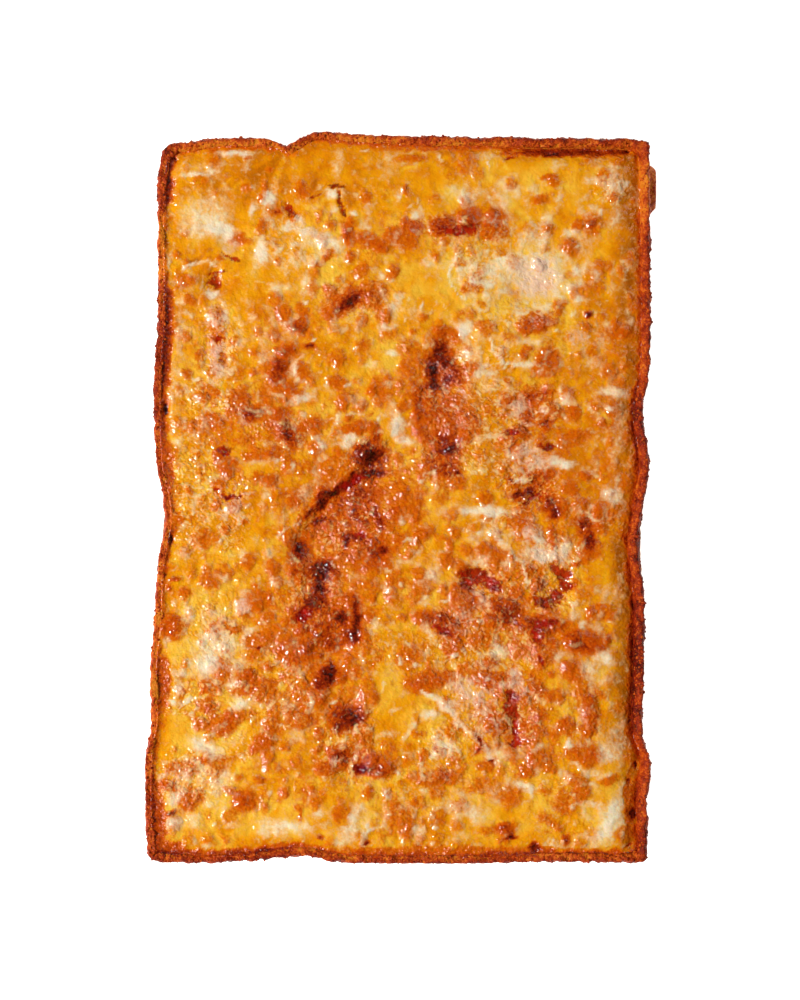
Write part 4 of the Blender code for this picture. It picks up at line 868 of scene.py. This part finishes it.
def paint_cheese(sheet):
    """The fields of the cheese's looks and the fine relief that goes with them."""
    x, y = sheet.x, sheet.y
    draw = random.Random(STREWN_SEED)

    smooth = sheet.blank()
    sheet.paint(smooth, SMOOTH, 0.3, 1.3)
    wrinkle, turns_cos, turns_sin = sheet.blank(), sheet.blank(), sheet.blank()
    drift = math.pi * sheet.swell(34, 8)
    turns_cos += 0.35 * np.cos(2 * drift)
    turns_sin += 0.35 * np.sin(2 * drift)
    for mark in WRINKLED:
        near, off = sheet.oval((*mark[:4], 0))
        amount = mark[5] * (1.0 - smoothstep(0.5, 1.4, off))
        turn = math.radians(mark[4]) + 0.9 * grain(x[near] / 8, y[near] / 8, 9)
        wrinkle[near] = np.maximum(wrinkle[near], amount)
        turns_cos[near] += amount * np.cos(2 * turn)
        turns_sin[near] += amount * np.sin(2 * turn)
    size = np.hypot(turns_cos, turns_sin) + 1e-6
    turns_cos, turns_sin = turns_cos / size, turns_sin / size
    wrinkle = np.clip(wrinkle * (1.0 - 0.6 * smooth) + 0.12 * (1.0 - smooth), 0.0, 1.0)

    tone_and_shade = 0.36 + 0.22 * sheet.swell(26, 11) + 0.26 * sheet.swell(9, 12)
    # Painted shade: a deeper amber towards the right side, and a little towards every side, where the
    # cheese slopes down to the furrow.
    tone_and_shade += 0.55 * (1.0 - smoothstep(2.0, 16.0, (1.0 - sheet.u) * SIDES[BOTTOM].length))
    tone_and_shade += 0.25 * (1.0 - smoothstep(0.0, 12.0, sheet.edge))
    sheet.shift(tone_and_shade, DEEPENED_AND_SHADED, 0.2, 1.6)
    sheet.shift(tone_and_shade, scatter(draw, SHRED_COUNT, (4, 9), (0.14, 0.26), (-0.3, 0.3)), 0.6, 1.2)

    # The browning field; further down it also takes painted shade in the pits, along the furrow and at the
    # foot of the banks.
    toast_and_shade = 0.25 + 0.07 * sheet.swell(13, 13) + 0.12 * sheet.swell(6, 14)
    toast_and_shade += 0.08 * sheet.swell(2.8, 18) - 0.15 * smooth
    sheet.shift(toast_and_shade, BROWNED, 0.2, 1.5)
    sheet.warp(BLISTER_BEND)
    spots = []
    for spot in scatter(draw, SPOT_TRIES, (1.6, 4.0), (0.6, 1.0), (0.0, 0.16)):
        heat = value_at(toast_and_shade, spot[0], spot[1])
        calm = value_at(smooth, spot[0], spot[1])
        apart = all(math.hypot(spot[0] - s[0], spot[1] - s[1]) > SPOT_SPACING for s in spots)
        if apart and draw.random() < 0.35 + 1.6 * (heat - 0.2) - 0.6 * calm:
            spots.append((*spot[:5], 0.36 + 0.45 * max(0.0, heat - 0.2) + spot[5]))
    sheet.paint(toast_and_shade, spots, 0.15, 1.85)
    sheet.paint(toast_and_shade, TOASTED, 0.25, 1.9)
    ring, outline = sheet.blank(), sheet.blank()
    for mark in TOASTED + tuple(spots):
        near, off = sheet.oval(mark)
        around = smoothstep(0.8, 1.35, off) * (1.0 - smoothstep(1.35, 2.05, off))
        within = 1.0 - smoothstep(0.5, 1.1, off)
        ring[near] = np.maximum(ring[near], around)
        ring[near] = ring[near] * (1.0 - within) - 0.8 * within
        border = smoothstep(0.6, 0.95, off) * (1.0 - smoothstep(1.0, 1.35, off))
        outline[near] = np.maximum(outline[near] * (1.0 - 0.7 * within), mark[5] * border)
    toast_and_shade += 0.08 * outline
    sheet.warp(1.0)
    # Scorch, with painted shade along the foot of the banks' drops.
    sheet.paint(toast_and_shade, SCORCH_AND_BANK_SHADE, 0.1, 2.1)

    white = 0.24 + 0.18 * sheet.swell(11, 15) + 0.24 * sheet.swell(4.6, 16)
    sheet.shift(white, PALED, 0.2, 1.6)
    white += 0.16 * ring
    flecks = scatter(draw, FLECK_COUNT, (0.8, 2.8), (0.3, 0.7), (0.4, 0.85))
    shown = [f for f in flecks if all(value_at(field, f[0], f[1]) < 0.5 for field in (smooth, toast_and_shade))]
    sheet.paint(white, shown, 0.2, 1.7)
    sheet.paint(white, MILKY, 0.1, 2.0)
    sheet.stroke(white, STRANDS)
    white *= 1.0 - 0.75 * smoothstep(0.7, 0.95, toast_and_shade)

    pink_and_sheen, sauce, pits = sheet.blank(), sheet.blank(), sheet.blank()
    sheet.paint(pink_and_sheen, PINK_AND_SHEEN, 0.3, 1.8)
    sheet.paint(sauce, SAUCY, 0.1, 2.1)
    white *= 1.0 - 0.8 * smoothstep(0.2, 0.6, sauce)
    # Painted shade: the pits are darkened to black and cleared of white cheese.
    sheet.paint(pits, PITS, 0.5, 1.2)
    toast_and_shade = np.maximum(toast_and_shade, pits)
    white *= 1.0 - pits

    # Towards each side the cheese darkens to the rim: partly browned by the fried rim, partly painted shade
    # in the furrow.
    fried = sheet.blank()
    for side, place, distance in (
        (SIDES[LEFT], y, sheet.u * SIDES[BOTTOM].length),
        (SIDES[RIGHT], y, (1 - sheet.u) * SIDES[BOTTOM].length),
        (SIDES[BOTTOM], x, sheet.v * SIDES[LEFT].length),
        (SIDES[TOP], x, (1 - sheet.v) * SIDES[LEFT].length),
    ):
        dark = np.interp(place, *zip(*side.frying))
        band = 2.4 + 2.6 * dark + 2.2 * sheet.swell(5, 17)
        spread = (0.42 + 0.45 * dark) * (1.0 - smoothstep(0.55 * band, 1.7 * band, distance))
        fried = np.maximum(fried, spread)
    sheet.paint(fried, EDGED, 0.5, 1.4)
    toast_and_shade = np.maximum(toast_and_shade, fried)
    white *= 1.0 - smoothstep(0.3, 0.6, fried)

    fine = sum(height * sheet.swell(size, seed) for size, height, seed in GRAIN_RELIEF)
    for mark in TOASTED + tuple(spots):
        near, off = sheet.oval(mark)
        fine[near] += BLISTER_RELIEF * mark[5] * np.sqrt(np.maximum(0.0, 1.0 - 0.7 * off * off))
    streak = sheet.blank()
    for turn, weight in ((0, turns_cos), (45, turns_sin), (90, -turns_cos), (135, -turns_sin)):
        c, s = math.cos(math.radians(turn)), math.sin(math.radians(turn))
        lines = grain((c * x + s * y) / WRINKLE_LENGTH, (c * y - s * x) / WRINKLE_WIDTH, 23 + turn)
        streak += np.maximum(weight, 0.0) * lines
    fine = fine * (1.0 - 0.6 * smooth) + WRINKLE_RELIEF * wrinkle * streak
    fine += WHITE_RELIEF * smoothstep(0.4, 0.8, white)
    fine = fine - SAUCE_SINK * smoothstep(0.3, 0.8, sauce) - PIT_SINK * pits
    sheet.place[..., 2] += fine * smoothstep(0.0, RELIEF_FADE, sheet.edge)
    return {
        "tone_and_shade": tone_and_shade, "toast_and_shade": toast_and_shade, "white": white, "pink_and_sheen": pink_and_sheen, "sauce": sauce, "wrinkle": wrinkle,
        "turn_cos": turns_cos, "turn_sin": turns_sin, "dry": np.minimum(1.0, 1.4 * fried),
    }


def value_at(field, x, y):
    """A field's value at about one place."""
    i = int(round((x + CHEESE_HALF_WIDTH) / (2.0 * CHEESE_HALF_WIDTH) * CHEESE_COLUMNS))
    j = int(round((y + CHEESE_HALF_LENGTH) / (2.0 * CHEESE_HALF_LENGTH) * CHEESE_ROWS))
    return field[min(max(i, 0), CHEESE_COLUMNS), min(max(j, 0), CHEESE_ROWS)]


def make_object(name, vertices, faces, fields, made_of):
    """One smooth-shaded mesh object from places in millimetres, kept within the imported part's box."""
    low, high = np.array(cad_box[0]) / MM, np.array(cad_box[1]) / MM
    vertices = np.clip(vertices, low, high)
    data = bpy.data.meshes.new(name)
    data.from_pydata((vertices * MM).tolist(), [], faces)
    for field, values in fields.items():
        kept = data.attributes.new(field, "FLOAT", "POINT")
        kept.data.foreach_set("value", values.astype(np.float32))
    data.materials.append(made_of)
    data.shade_smooth()
    made = bpy.data.objects.new(name, data)
    bpy.context.scene.collection.objects.link(made)
    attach(made, "root")
    return made


def build_cheese(made_of):
    """The melted cheese, a closed piece: finely modelled on top, and level where it lies on the crumb."""
    sheet = Sheet()
    fields = paint_cheese(sheet)
    columns, rows = CHEESE_COLUMNS, CHEESE_ROWS
    top = np.dstack((sheet.x, sheet.y, sheet.place[..., 2])).reshape(-1, 3)
    number = np.arange(len(top)).reshape(columns + 1, rows + 1)
    a, b, c, d = number[:-1, :-1], number[1:, :-1], number[1:, 1:], number[:-1, 1:]
    faces = np.stack((a, b, c, d), axis=-1).reshape(-1, 4).tolist()
    edge = np.concatenate((number[0, :0:-1], number[:-1, 0], number[-1, :-1], number[:0:-1, -1]))
    base = top[edge].copy()
    base[:, 2] = CRUMB_HEIGHT + BASE_GAP
    middle = np.array([[0.0, 0.0, CRUMB_HEIGHT + BASE_GAP]])
    first = len(top)
    centre = first + len(edge)
    for n in range(len(edge)):
        m = (n + 1) % len(edge)
        faces.append((first + n, first + m, int(edge[m]), int(edge[n])))
        faces.append((first + m, first + n, centre))
    vertices = np.vstack((top, base, middle))
    below = {"tone_and_shade": 0.4, "toast_and_shade": 0.3, "turn_cos": 1.0}
    extra = len(vertices) - len(top)
    fields = {
        name: np.concatenate((values.reshape(-1), np.full(extra, below.get(name, 0.0))))
        for name, values in fields.items()
    }
    return make_object("melted_cheese", vertices, faces, fields, made_of)


def flap(side, share, height):
    """How far the torn flap sticks out here."""
    if side.name != "right":
        return 0.0
    along = (side.place_along(share) - FLAP["y"]) / FLAP["half_length"]
    up = (height - FLAP["height"]) / FLAP["half_height"]
    return FLAP["out"] * (1.0 - smoothstep(0.55, 1.0, math.hypot(along, up)))


def wall_section(top, crest_fall):
    """The crust at one station, from the underside up over the rim and down to the crumb.

    Each row is (inset, height, share of the rim's waviness, share of the wall's crags, zone). The zone runs
    from 0 at the underside to 1 at the wall's top, 2 at the inner edge of the rim and 3 at the crumb.
    """
    section = []
    for n in range(FOOT_ROWS + 1):
        angle = math.radians(90.0 * n / FOOT_ROWS)
        inset = WALL_TAPER + FOOT_RADIUS * (1.0 - math.sin(angle))
        height = FOOT_RADIUS * (1.0 - math.cos(angle))
        section.append((inset, height, FOOT_FOLLOW, 0.4 * n / FOOT_ROWS, height / top))
    lowest = FOOT_RADIUS / top
    for n in range(1, WALL_ROWS + 1):
        rise = lowest + (WALL_TOP - lowest) * n / WALL_ROWS
        follow = FOOT_FOLLOW + (1.0 - FOOT_FOLLOW) * float(smoothstep(0.3, 1.0, rise))
        crags = min(1.0, 0.4 + 3.0 * (rise - lowest)) * (1.0 - smoothstep(0.7, 1.0, rise))
        section.append((WALL_TAPER * (1.0 - rise), rise * top, follow, crags, rise))
    start = (WALL_TAPER * (1.0 - WALL_TOP), WALL_TOP * top)
    for n in range(1, CREST_ROWS + 1):
        t = n / CREST_ROWS
        inset = start[0] + (RIM_THICKNESS - start[0]) * t
        rounding = math.sin(math.pi * min(1.0, 0.5 * inset / RIM_CREST_INSET))
        if inset <= RIM_CREST_INSET:
            height = start[1] + (top - start[1]) * rounding
        else:
            fall = smoothstep(RIM_CREST_INSET, CREST_FALL_END, inset) * CREST_FALL_GAIN
            height = top - RIM_ROUNDING * crest_fall * fall
        section.append((inset, height, 1.0, 0.0, 1.0 + t))
    last = section[-1][1]
    for n in range(1, INNER_ROWS + 1):
        t = n / INNER_ROWS
        height = last + (CRUMB_HEIGHT - last) * t
        section.append((RIM_THICKNESS + INNER_SLOPE * t, height, 1.0, 0.0, 2.0 + t))
    return section


def build_crust(made_of):
    """The dough with its craggy fried wall and ragged rim, a closed piece."""
    vertices, zones, darks, chars = [], [], [], []
    stations = [(side, step / side.steps) for side in SIDES for step in range(side.steps)]
    rows = FOOT_ROWS + 1 + WALL_ROWS + CREST_ROWS + INNER_ROWS
    for side, share in stations:
        dark = float(np.interp(side.place_along(share), *zip(*side.frying)))
        charred = 0.0
        if side.name == "right":
            charred = float(np.interp(side.place_along(share), *zip(*RIGHT_INNER_CHAR)))
        for inset, height, follow, crags, zone in wall_section(rim_top(side, share), CREST_FALL[side.name]):
            place = side.point(share, inset, follow)
            out, torn = 0.0, 0.0
            if crags > 0.0:
                torn = float(flap(side, share, height))
                out = crags * relief(WALL_CRAGS, place.x, place.y, height) + torn
            fry = smoothstep(0.3, 0.7, zone) * (1.0 - smoothstep(2.0, 2.5, zone))
            bite = relief(FRIED_CRAGS, place.x, place.y, height)
            out += fry * bite + (1.0 - fry) * DOUGH_CRAG_SHARE * bite * min(1.0, crags)
            place += float(out) * side.outward
            lift = 0.0
            if 0.9 < zone < 2.5:
                lift = (0.3 + 0.6 * dark) * relief(CREST_CRAGS, place.x, place.y) - 0.1
            vertices.append((place.x - PLAN_SHIFT[0], place.y - PLAN_SHIFT[1], height + lift))
            zones.append(zone + FLAP_FRYING * torn if zone < 1.0 else zone)
            darks.append(dark)
            chars.append(charred)
    count = len(stations)
    number = np.arange(count * rows).reshape(count, rows)
    following = np.roll(number, -1, axis=0)
    faces = np.stack((number[:, :-1], following[:, :-1], following[:, 1:], number[:, 1:]), axis=-1)
    faces = faces.reshape(-1, 4).tolist()
    under, floor = count * rows, count * rows + 1
    vertices += [(0.0, 0.0, 0.0), (0.0, 0.0, CRUMB_HEIGHT)]
    zones += [0.0, 3.0]
    darks += [0.5, 0.5]
    chars += [0.0, 0.0]
    for n in range(count):
        m = (n + 1) % count
        faces.append((int(number[m, 0]), int(number[n, 0]), under))
        faces.append((int(number[n, -1]), int(number[m, -1]), floor))
    fields = {"zone": np.array(zones), "frying": np.array(darks), "charred": np.array(chars)}
    return make_object("baked_crust", np.array(vertices), faces, fields, made_of)


def build_crumbs(crust, made_of):
    """Beads of fried cheese stuck to the rim, each a small closed lump sunk into it."""
    draw = random.Random(CRUMB_SEED)
    ball = bmesh.new()
    bmesh.ops.create_icosphere(ball, subdivisions=2, radius=1.0)
    round_places = [vertex.co.copy() for vertex in ball.verts]
    round_faces = [tuple(vertex.index for vertex in face.verts) for face in ball.faces]
    ball.free()
    zones = [entry.value for entry in crust.data.attributes["zone"].data]
    frying = [entry.value for entry in crust.data.attributes["frying"].data]
    seats = [n for n, zone in enumerate(zones) if CRUMB_ZONES[0] < zone < CRUMB_ZONES[1]]
    low, high = Vector(cad_box[0]), Vector(cad_box[1])
    vertices, faces, tints = [], [], []
    for _ in range(CRUMB_COUNT):
        number = draw.choice(seats)
        seat = crust.data.vertices[number]
        if draw.random() > 0.2 + frying[number]:
            continue
        radius = draw.uniform(*CRUMB_RADIUS) * draw.uniform(0.6, 1.0)
        middle = seat.co / MM - (CRUMB_SUNK * radius) * seat.normal
        spin = Euler([draw.uniform(0.0, 2.0 * math.pi) for _ in range(3)]).to_matrix()
        form = Vector((radius, radius * draw.uniform(0.6, 1.0), radius * draw.uniform(0.5, 0.8)))
        lump = []
        for place in round_places:
            swollen = place * (1.0 + CRUMB_LUMPINESS * noise.noise(place * 1.7 + middle))
            lump.append(middle + spin @ Vector(a * b for a, b in zip(swollen, form)))
        if any(not (low[i] < v[i] * MM < high[i]) for v in lump for i in range(3)):
            continue
        first = len(vertices)
        vertices += [tuple(place) for place in lump]
        faces += [tuple(first + n for n in face) for face in round_faces]
        outer = 1.0 - min(1.0, max(0.0, zones[number] - 0.95))
        tints += [0.62 * draw.random() + 0.38 * (1.0 - outer)] * len(lump)
    return make_object("fried_crumbs", np.array(vertices), faces, {"tint": np.array(tints)}, made_of)


def daylight(colour):
    """A colour as it looks, 0 to 255, in the shader's own linear light."""
    linear = []
    for value in colour:
        share = value / 255.0
        linear.append(share / 12.92 if share <= 0.04045 else ((share + 0.055) / 1.055) ** 2.4)
    return (*linear, 1.0)


class Painter:
    """Builds one material's nodes."""

    def __init__(self, name):
        self.material = bpy.data.materials.new(name)
        self.material.use_nodes = True
        self.tree = self.material.node_tree
        self.shader = self.tree.nodes["Principled BSDF"]
        inputs = {0: self.add("TexCoord").outputs["Object"], "Scale": 1.0 / MM}
        self.place = self.add("VectorMath", inputs, operation="SCALE").outputs[0]

    def add(self, kind, inputs=None, **settings):
        node = self.tree.nodes.new("ShaderNode" + kind)
        for name, value in settings.items():
            setattr(node, name, value)
        for socket, value in (inputs or {}).items():
            if isinstance(value, bpy.types.NodeSocket):
                self.tree.links.new(value, node.inputs[socket])
            else:
                node.inputs[socket].default_value = value
        return node

    def field(self, name):
        return self.add("Attribute", attribute_name=name).outputs["Fac"]

    def calc(self, operation, *values):
        return self.add("Math", dict(enumerate(values)), operation=operation).outputs[0]

    def rest(self, value):
        """What this value lacks to 1."""
        return self.calc("SUBTRACT", 1.0, value)

    def plus(self, first, *others):
        for other in others:
            first = self.calc("ADD", first, other)
        return first

    def times(self, first, *others):
        for other in others:
            first = self.calc("MULTIPLY", first, other)
        return first

    def step(self, low, high, value):
        """0 below low, 1 above high, and an S-curve between them."""
        node = self.add("MapRange", {"Value": value, "From Min": low, "From Max": high})
        node.interpolation_type = "SMOOTHSTEP"
        return node.outputs["Result"]

    def swing(self, size, detail=2.0, where=None):
        """Noise from about -1 to 1, with swells of this size in millimetres."""
        place = where or self.place
        inputs = {"Vector": place, "Scale": 1.0 / size, "Detail": detail, "Roughness": 0.55}
        found = self.add("TexNoise", inputs).outputs["Fac"]
        return self.calc("MULTIPLY_ADD", found, 4.4, -2.2)

    def bent(self, size, strength):
        """Places pushed about by swells of this size, so that what runs straight there wavers."""
        found = self.add("TexNoise", {"Vector": self.place, "Scale": 1.0 / size, "Detail": 0.0})
        inputs = {0: found.outputs["Color"], 1: (strength, strength, strength), 2: self.place}
        return self.add("VectorMath", inputs, operation="MULTIPLY_ADD").outputs[0]

    def turned(self, where, turn, long, short):
        """Places turned and squeezed, so that noise there runs in streaks along the turn."""
        inputs = {"Vector": where, "Rotation": (0.0, 0.0, -math.radians(turn))}
        spun = self.add("Mapping", inputs)
        inputs = {"Vector": spun.outputs[0], "Scale": (1.0 / long, 1.0 / short, 1.0 / short)}
        return self.add("Mapping", inputs).outputs[0]

    def blend(self, factor, first, second):
        node = self.add("Mix", {0: factor, 6: first, 7: second}, data_type="RGBA")
        return node.outputs[2]

    def ramp(self, value, stops):
        """Colours at rising places from 0 to 1."""
        node = self.add("ValToRGB", {"Fac": value})
        steps = node.color_ramp.elements
        while len(steps) < len(stops):
            steps.new(0.5)
        for element, (place, colour) in zip(steps, stops):
            element.position = place
            element.color = daylight(colour)
        return node.outputs["Color"]

    def finish(self, colour, roughness, height):
        """Joins colour, roughness and a bump height in millimetres to the shader."""
        bump = self.add("Bump", {"Height": height, "Distance": MM, "Strength": 1.0})
        made = {"Base Color": colour, "Roughness": roughness, "Normal": bump.outputs["Normal"]}
        for socket, value in made.items():
            self.tree.links.new(value, self.shader.inputs[socket])
        return self.material


def cheese_material():
    p = Painter("browned_cheese")
    tone_and_shade, toast_and_shade, white, pink_and_sheen, sauce, wrinkle = (
        p.field(name) for name in ("tone_and_shade", "toast_and_shade", "white", "pink_and_sheen", "sauce", "wrinkle")
    )
    cosine, sine = p.field("turn_cos"), p.field("turn_sin")
    tiny, fine, middling = p.swing(0.6, 1.0), p.swing(1.3), p.swing(3.4)
    streak, bent = 0.0, p.bent(2.0, 3.2)
    leans = cosine, sine, p.times(cosine, -1.0), p.times(sine, -1.0)
    for turn, lean in zip((0, 45, 90, 135), leans):
        weight = p.calc("MAXIMUM", lean, 0.0)
        lines = p.swing(1.0, 0.0, p.turned(bent, turn, 3.2, 1.4))
        streak = p.calc("MULTIPLY_ADD", weight, lines, streak)

    # The gold deepens with the cheese's own tone and with the painted shade near the sides.
    shade = p.plus(tone_and_shade, p.times(middling, 0.10), p.times(fine, 0.03))
    golds = (0.1, CHEESE_PALE), (0.38, CHEESE_GOLD), (0.66, CHEESE_AMBER), (1.0, CHEESE_DEEP)
    base = p.ramp(shade, golds)

    # The streak term browns the wrinkles' troughs a little, a painted shade.
    heat = p.plus(
        toast_and_shade,
        p.times(middling, 0.09),
        p.times(fine, 0.06),
        p.times(streak, wrinkle, -0.05),
        p.times(fine, p.step(0.55, 0.85, toast_and_shade), 0.05),
    )
    # Its dark end is scorch, and also the painted shade in the pits, in the furrow and at the foot of the
    # banks.
    browned = p.ramp(
        heat,
        (
            (0.28, CHEESE_AMBER), (0.44, TOAST_ORANGE), (0.64, TOAST_BROWN),
            (0.82, SCORCH_AND_SHADE_RED), (1.0, SCORCH_AND_SHADE_BLACK),
        ),
    )
    colour = p.blend(p.step(0.18, 0.50, heat), base, browned)

    stain = p.plus(sauce, p.times(fine, 0.12), p.times(streak, -0.12))
    red = p.ramp(p.plus(0.5, p.times(middling, 0.4)), ((0.3, SAUCE_RED), (0.8, SAUCE_DARK)))
    colour = p.blend(p.times(p.step(0.12, 0.68, stain), 0.92), colour, red)

    # The streak term whitens the wrinkles' crests a little, a painted highlight.
    milk = p.plus(white, p.times(fine, 0.13), p.times(middling, 0.20), p.times(streak, wrinkle, 0.12))
    pale = p.ramp(white, ((0.45, MILK_SOFT), (0.85, MILK_BRIGHT)))
    # Pink where the cheese lies over the sauce: partly its own tint, partly painted sheen.
    pale = p.blend(p.times(pink_and_sheen, 0.8), pale, daylight(MILK_PINK_SHEEN))
    colour = p.blend(p.times(p.step(0.32, 1.0, milk), 0.90), colour, pale)

    # Painted highlight: pale glints on the wrinkles' crests, fewer over browned cheese and none over sauce.
    crest = p.step(0.1, 1.3, p.plus(streak, p.times(fine, 0.5)))
    crest = p.times(crest, p.rest(p.times(p.step(0.5, 0.85, heat), 0.85)))
    crest = p.times(crest, p.rest(p.step(0.3, 0.8, sauce)))
    glint_colour = p.blend(p.step(0.3, 0.6, heat), daylight(MILK_SOFT), daylight(GLINT_PEACH))
    glint_colour = p.blend(p.times(pink_and_sheen, 0.8), glint_colour, daylight(MILK_PINK_SHEEN))
    colour = p.blend(p.times(crest, wrinkle, 0.46), colour, glint_colour)

    # Painted highlight: small pale glints strewn over lightly browned cheese, none on the darkest.
    glint_specks = p.step(0.3, 1.3, p.swing(1.7, 1.0))
    glint_specks = p.times(glint_specks, p.rest(p.step(0.55, 0.9, heat)), p.step(0.1, 0.45, heat), 0.34)
    colour = p.blend(glint_specks, colour, glint_colour)

    rough = p.plus(p.times(wrinkle, 0.5), p.times(p.step(0.2, 0.5, heat), 0.4), 0.15)
    rough = p.times(rough, p.rest(p.times(p.step(0.4, 0.8, white), 0.6)))
    pebbles = p.swing(1.5, 0.0)
    height = p.plus(
        p.times(tiny, rough, TINY_BUMP),
        p.times(fine, rough, FINE_BUMP),
        p.times(pebbles, rough, PEBBLE_BUMP),
        p.times(middling, MIDDLING_BUMP),
        p.times(streak, wrinkle, STREAK_BUMP),
        p.times(p.field("dry"), fine, DRY_BUMP),
    )
    roughness = p.plus(p.times(fine, 0.02), p.times(p.field("dry"), 0.14), CHEESE_ROUGHNESS)
    p.shader.inputs["Specular IOR Level"].default_value = CHEESE_SPECULAR
    p.shader.inputs["Subsurface Weight"].default_value = CHEESE_GLOW_WEIGHT
    p.shader.inputs["Subsurface Radius"].default_value = CHEESE_GLOW_RADIUS
    p.shader.inputs["Subsurface Scale"].default_value = CHEESE_GLOW_DEPTH * MM
    return p.finish(colour, roughness, height)


def crust_material():
    p = Painter("fried_crust")
    zone, frying = p.field("zone"), p.field("frying")
    tiny, fine, middling = p.swing(0.5, 1.5), p.swing(1.2, 2.5), p.swing(3.6)
    apart = p.swing(12.0)

    dough = p.ramp(
        p.plus(zone, p.times(middling, 0.05), p.times(apart, 0.06)),
        (
            (0.0, DOUGH_BROWN), (0.16, DOUGH_GOLD), (0.42, DOUGH_PALE), (0.62, DOUGH_GOLD),
            (0.8, CHAR_BROWN),
        ),
    )
    speckle = p.step(0.5, 0.9, p.plus(fine, p.times(middling, 0.5)))
    dough = p.blend(p.times(speckle, 0.55), dough, daylight(CHAR_BROWN))

    heat = p.plus(p.times(frying, 0.50), p.times(middling, 0.26), p.times(apart, 0.16), p.times(fine, 0.30))
    inward = p.calc("SUBTRACT", zone, 1.0)
    heat = p.plus(heat, p.times(inward, -0.34), p.times(inward, p.field("charred"), 0.42), 0.25)
    below = p.rest(p.step(0.80, 1.0, zone))
    heat = p.plus(heat, p.times(below, 0.35))
    fried = p.ramp(
        heat,
        ((0.0, RIM_GOLD), (0.22, RIM_ORANGE), (0.45, RIM_RED), (0.7, RIM_DARK), (0.95, RIM_BLACK)),
    )
    # Lighter orange specks on the rim: partly the beads' own colour, partly painted highlight on them.
    bead_and_glint = p.step(0.25, 0.95, p.plus(fine, p.times(tiny, 0.4)))
    fried = p.blend(p.times(bead_and_glint, 0.55), fried, daylight(RIM_ORANGE))
    edge = p.plus(zone, p.times(middling, 0.06))
    colour = p.blend(p.step(0.66, 0.80, edge), dough, fried)

    height = p.plus(p.times(tiny, 0.04), p.times(fine, 0.20), p.times(middling, 0.4))
    roughness = p.calc("MULTIPLY_ADD", fine, 0.06, CRUST_ROUGHNESS)
    p.shader.inputs["Specular IOR Level"].default_value = CRUST_SPECULAR
    return p.finish(colour, roughness, height)


def crumb_material():
    p = Painter("fried_crumb")
    tint, fine = p.field("tint"), p.swing(0.7)
    colour = p.ramp(
        p.plus(tint, p.times(fine, 0.15)),
        ((0.0, RIM_DARK), (0.5, RIM_RED), (0.95, RIM_ORANGE)),
    )
    p.shader.inputs["Specular IOR Level"].default_value = CRUMB_SPECULAR
    return p.finish(colour, p.calc("MULTIPLY_ADD", fine, 0.06, CRUMB_ROUGHNESS), p.times(fine, 0.1))


def light(name, place, size, power, colour):
    """A soft square lamp that looks at the middle of the floor under the pizza."""
    data = bpy.data.lights.new(name, "AREA")
    data.size = size
    data.energy = power
    data.color = colour
    lamp = bpy.data.objects.new(name, data)
    lamp.location = place
    lamp.rotation_euler = (-Vector(place)).to_track_quat("-Z", "Y").to_euler()
    bpy.context.scene.collection.objects.link(lamp)


def build_stage():
    """A plain white floor, a key light from the left, a weak fill and the camera overhead."""
    data = bpy.data.meshes.new("floor")
    half = FLOOR_HALF
    corners = [(-half, -half, 0), (half, -half, 0), (half, half, 0), (-half, half, 0)]
    data.from_pydata(corners, [], [(0, 1, 2, 3)])
    floor = bpy.data.objects.new("floor", data)
    bpy.context.scene.collection.objects.link(floor)
    p = Painter("white_floor")
    p.shader.inputs["Base Color"].default_value = daylight(FLOOR_WHITE)
    p.shader.inputs["Roughness"].default_value = FLOOR_ROUGHNESS
    p.shader.inputs["Emission Color"].default_value = (1.0, 1.0, 1.0, 1.0)
    p.shader.inputs["Emission Strength"].default_value = FLOOR_GLOW
    data.materials.append(p.material)

    light("key", *KEY_LAMP)
    light("fill", *FILL_LAMP)
    world = bpy.data.worlds.new("studio")
    world.use_nodes = True
    background = world.node_tree.nodes["Background"]
    background.inputs["Color"].default_value = (1.0, 1.0, 1.0, 1.0)
    background.inputs["Strength"].default_value = WORLD_LIGHT
    bpy.context.scene.world = world
    bpy.context.scene.view_settings.view_transform = "Standard"

    data = bpy.data.cameras.new("overhead")
    data.sensor_fit = "VERTICAL"
    data.sensor_height = CAMERA_SENSOR
    data.lens = CAMERA_LENS
    camera = bpy.data.objects.new("overhead", data)
    camera.location = (CAMERA_X, CAMERA_Y, RIM_HEIGHT * MM + CAMERA_HEIGHT)
    bpy.context.scene.collection.objects.link(camera)
    bpy.context.scene.camera = camera


cheese = build_cheese(cheese_material())
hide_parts("cheese")
crust = build_crust(crust_material())
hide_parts("crust")
build_crumbs(crust, crumb_material())
build_stage()
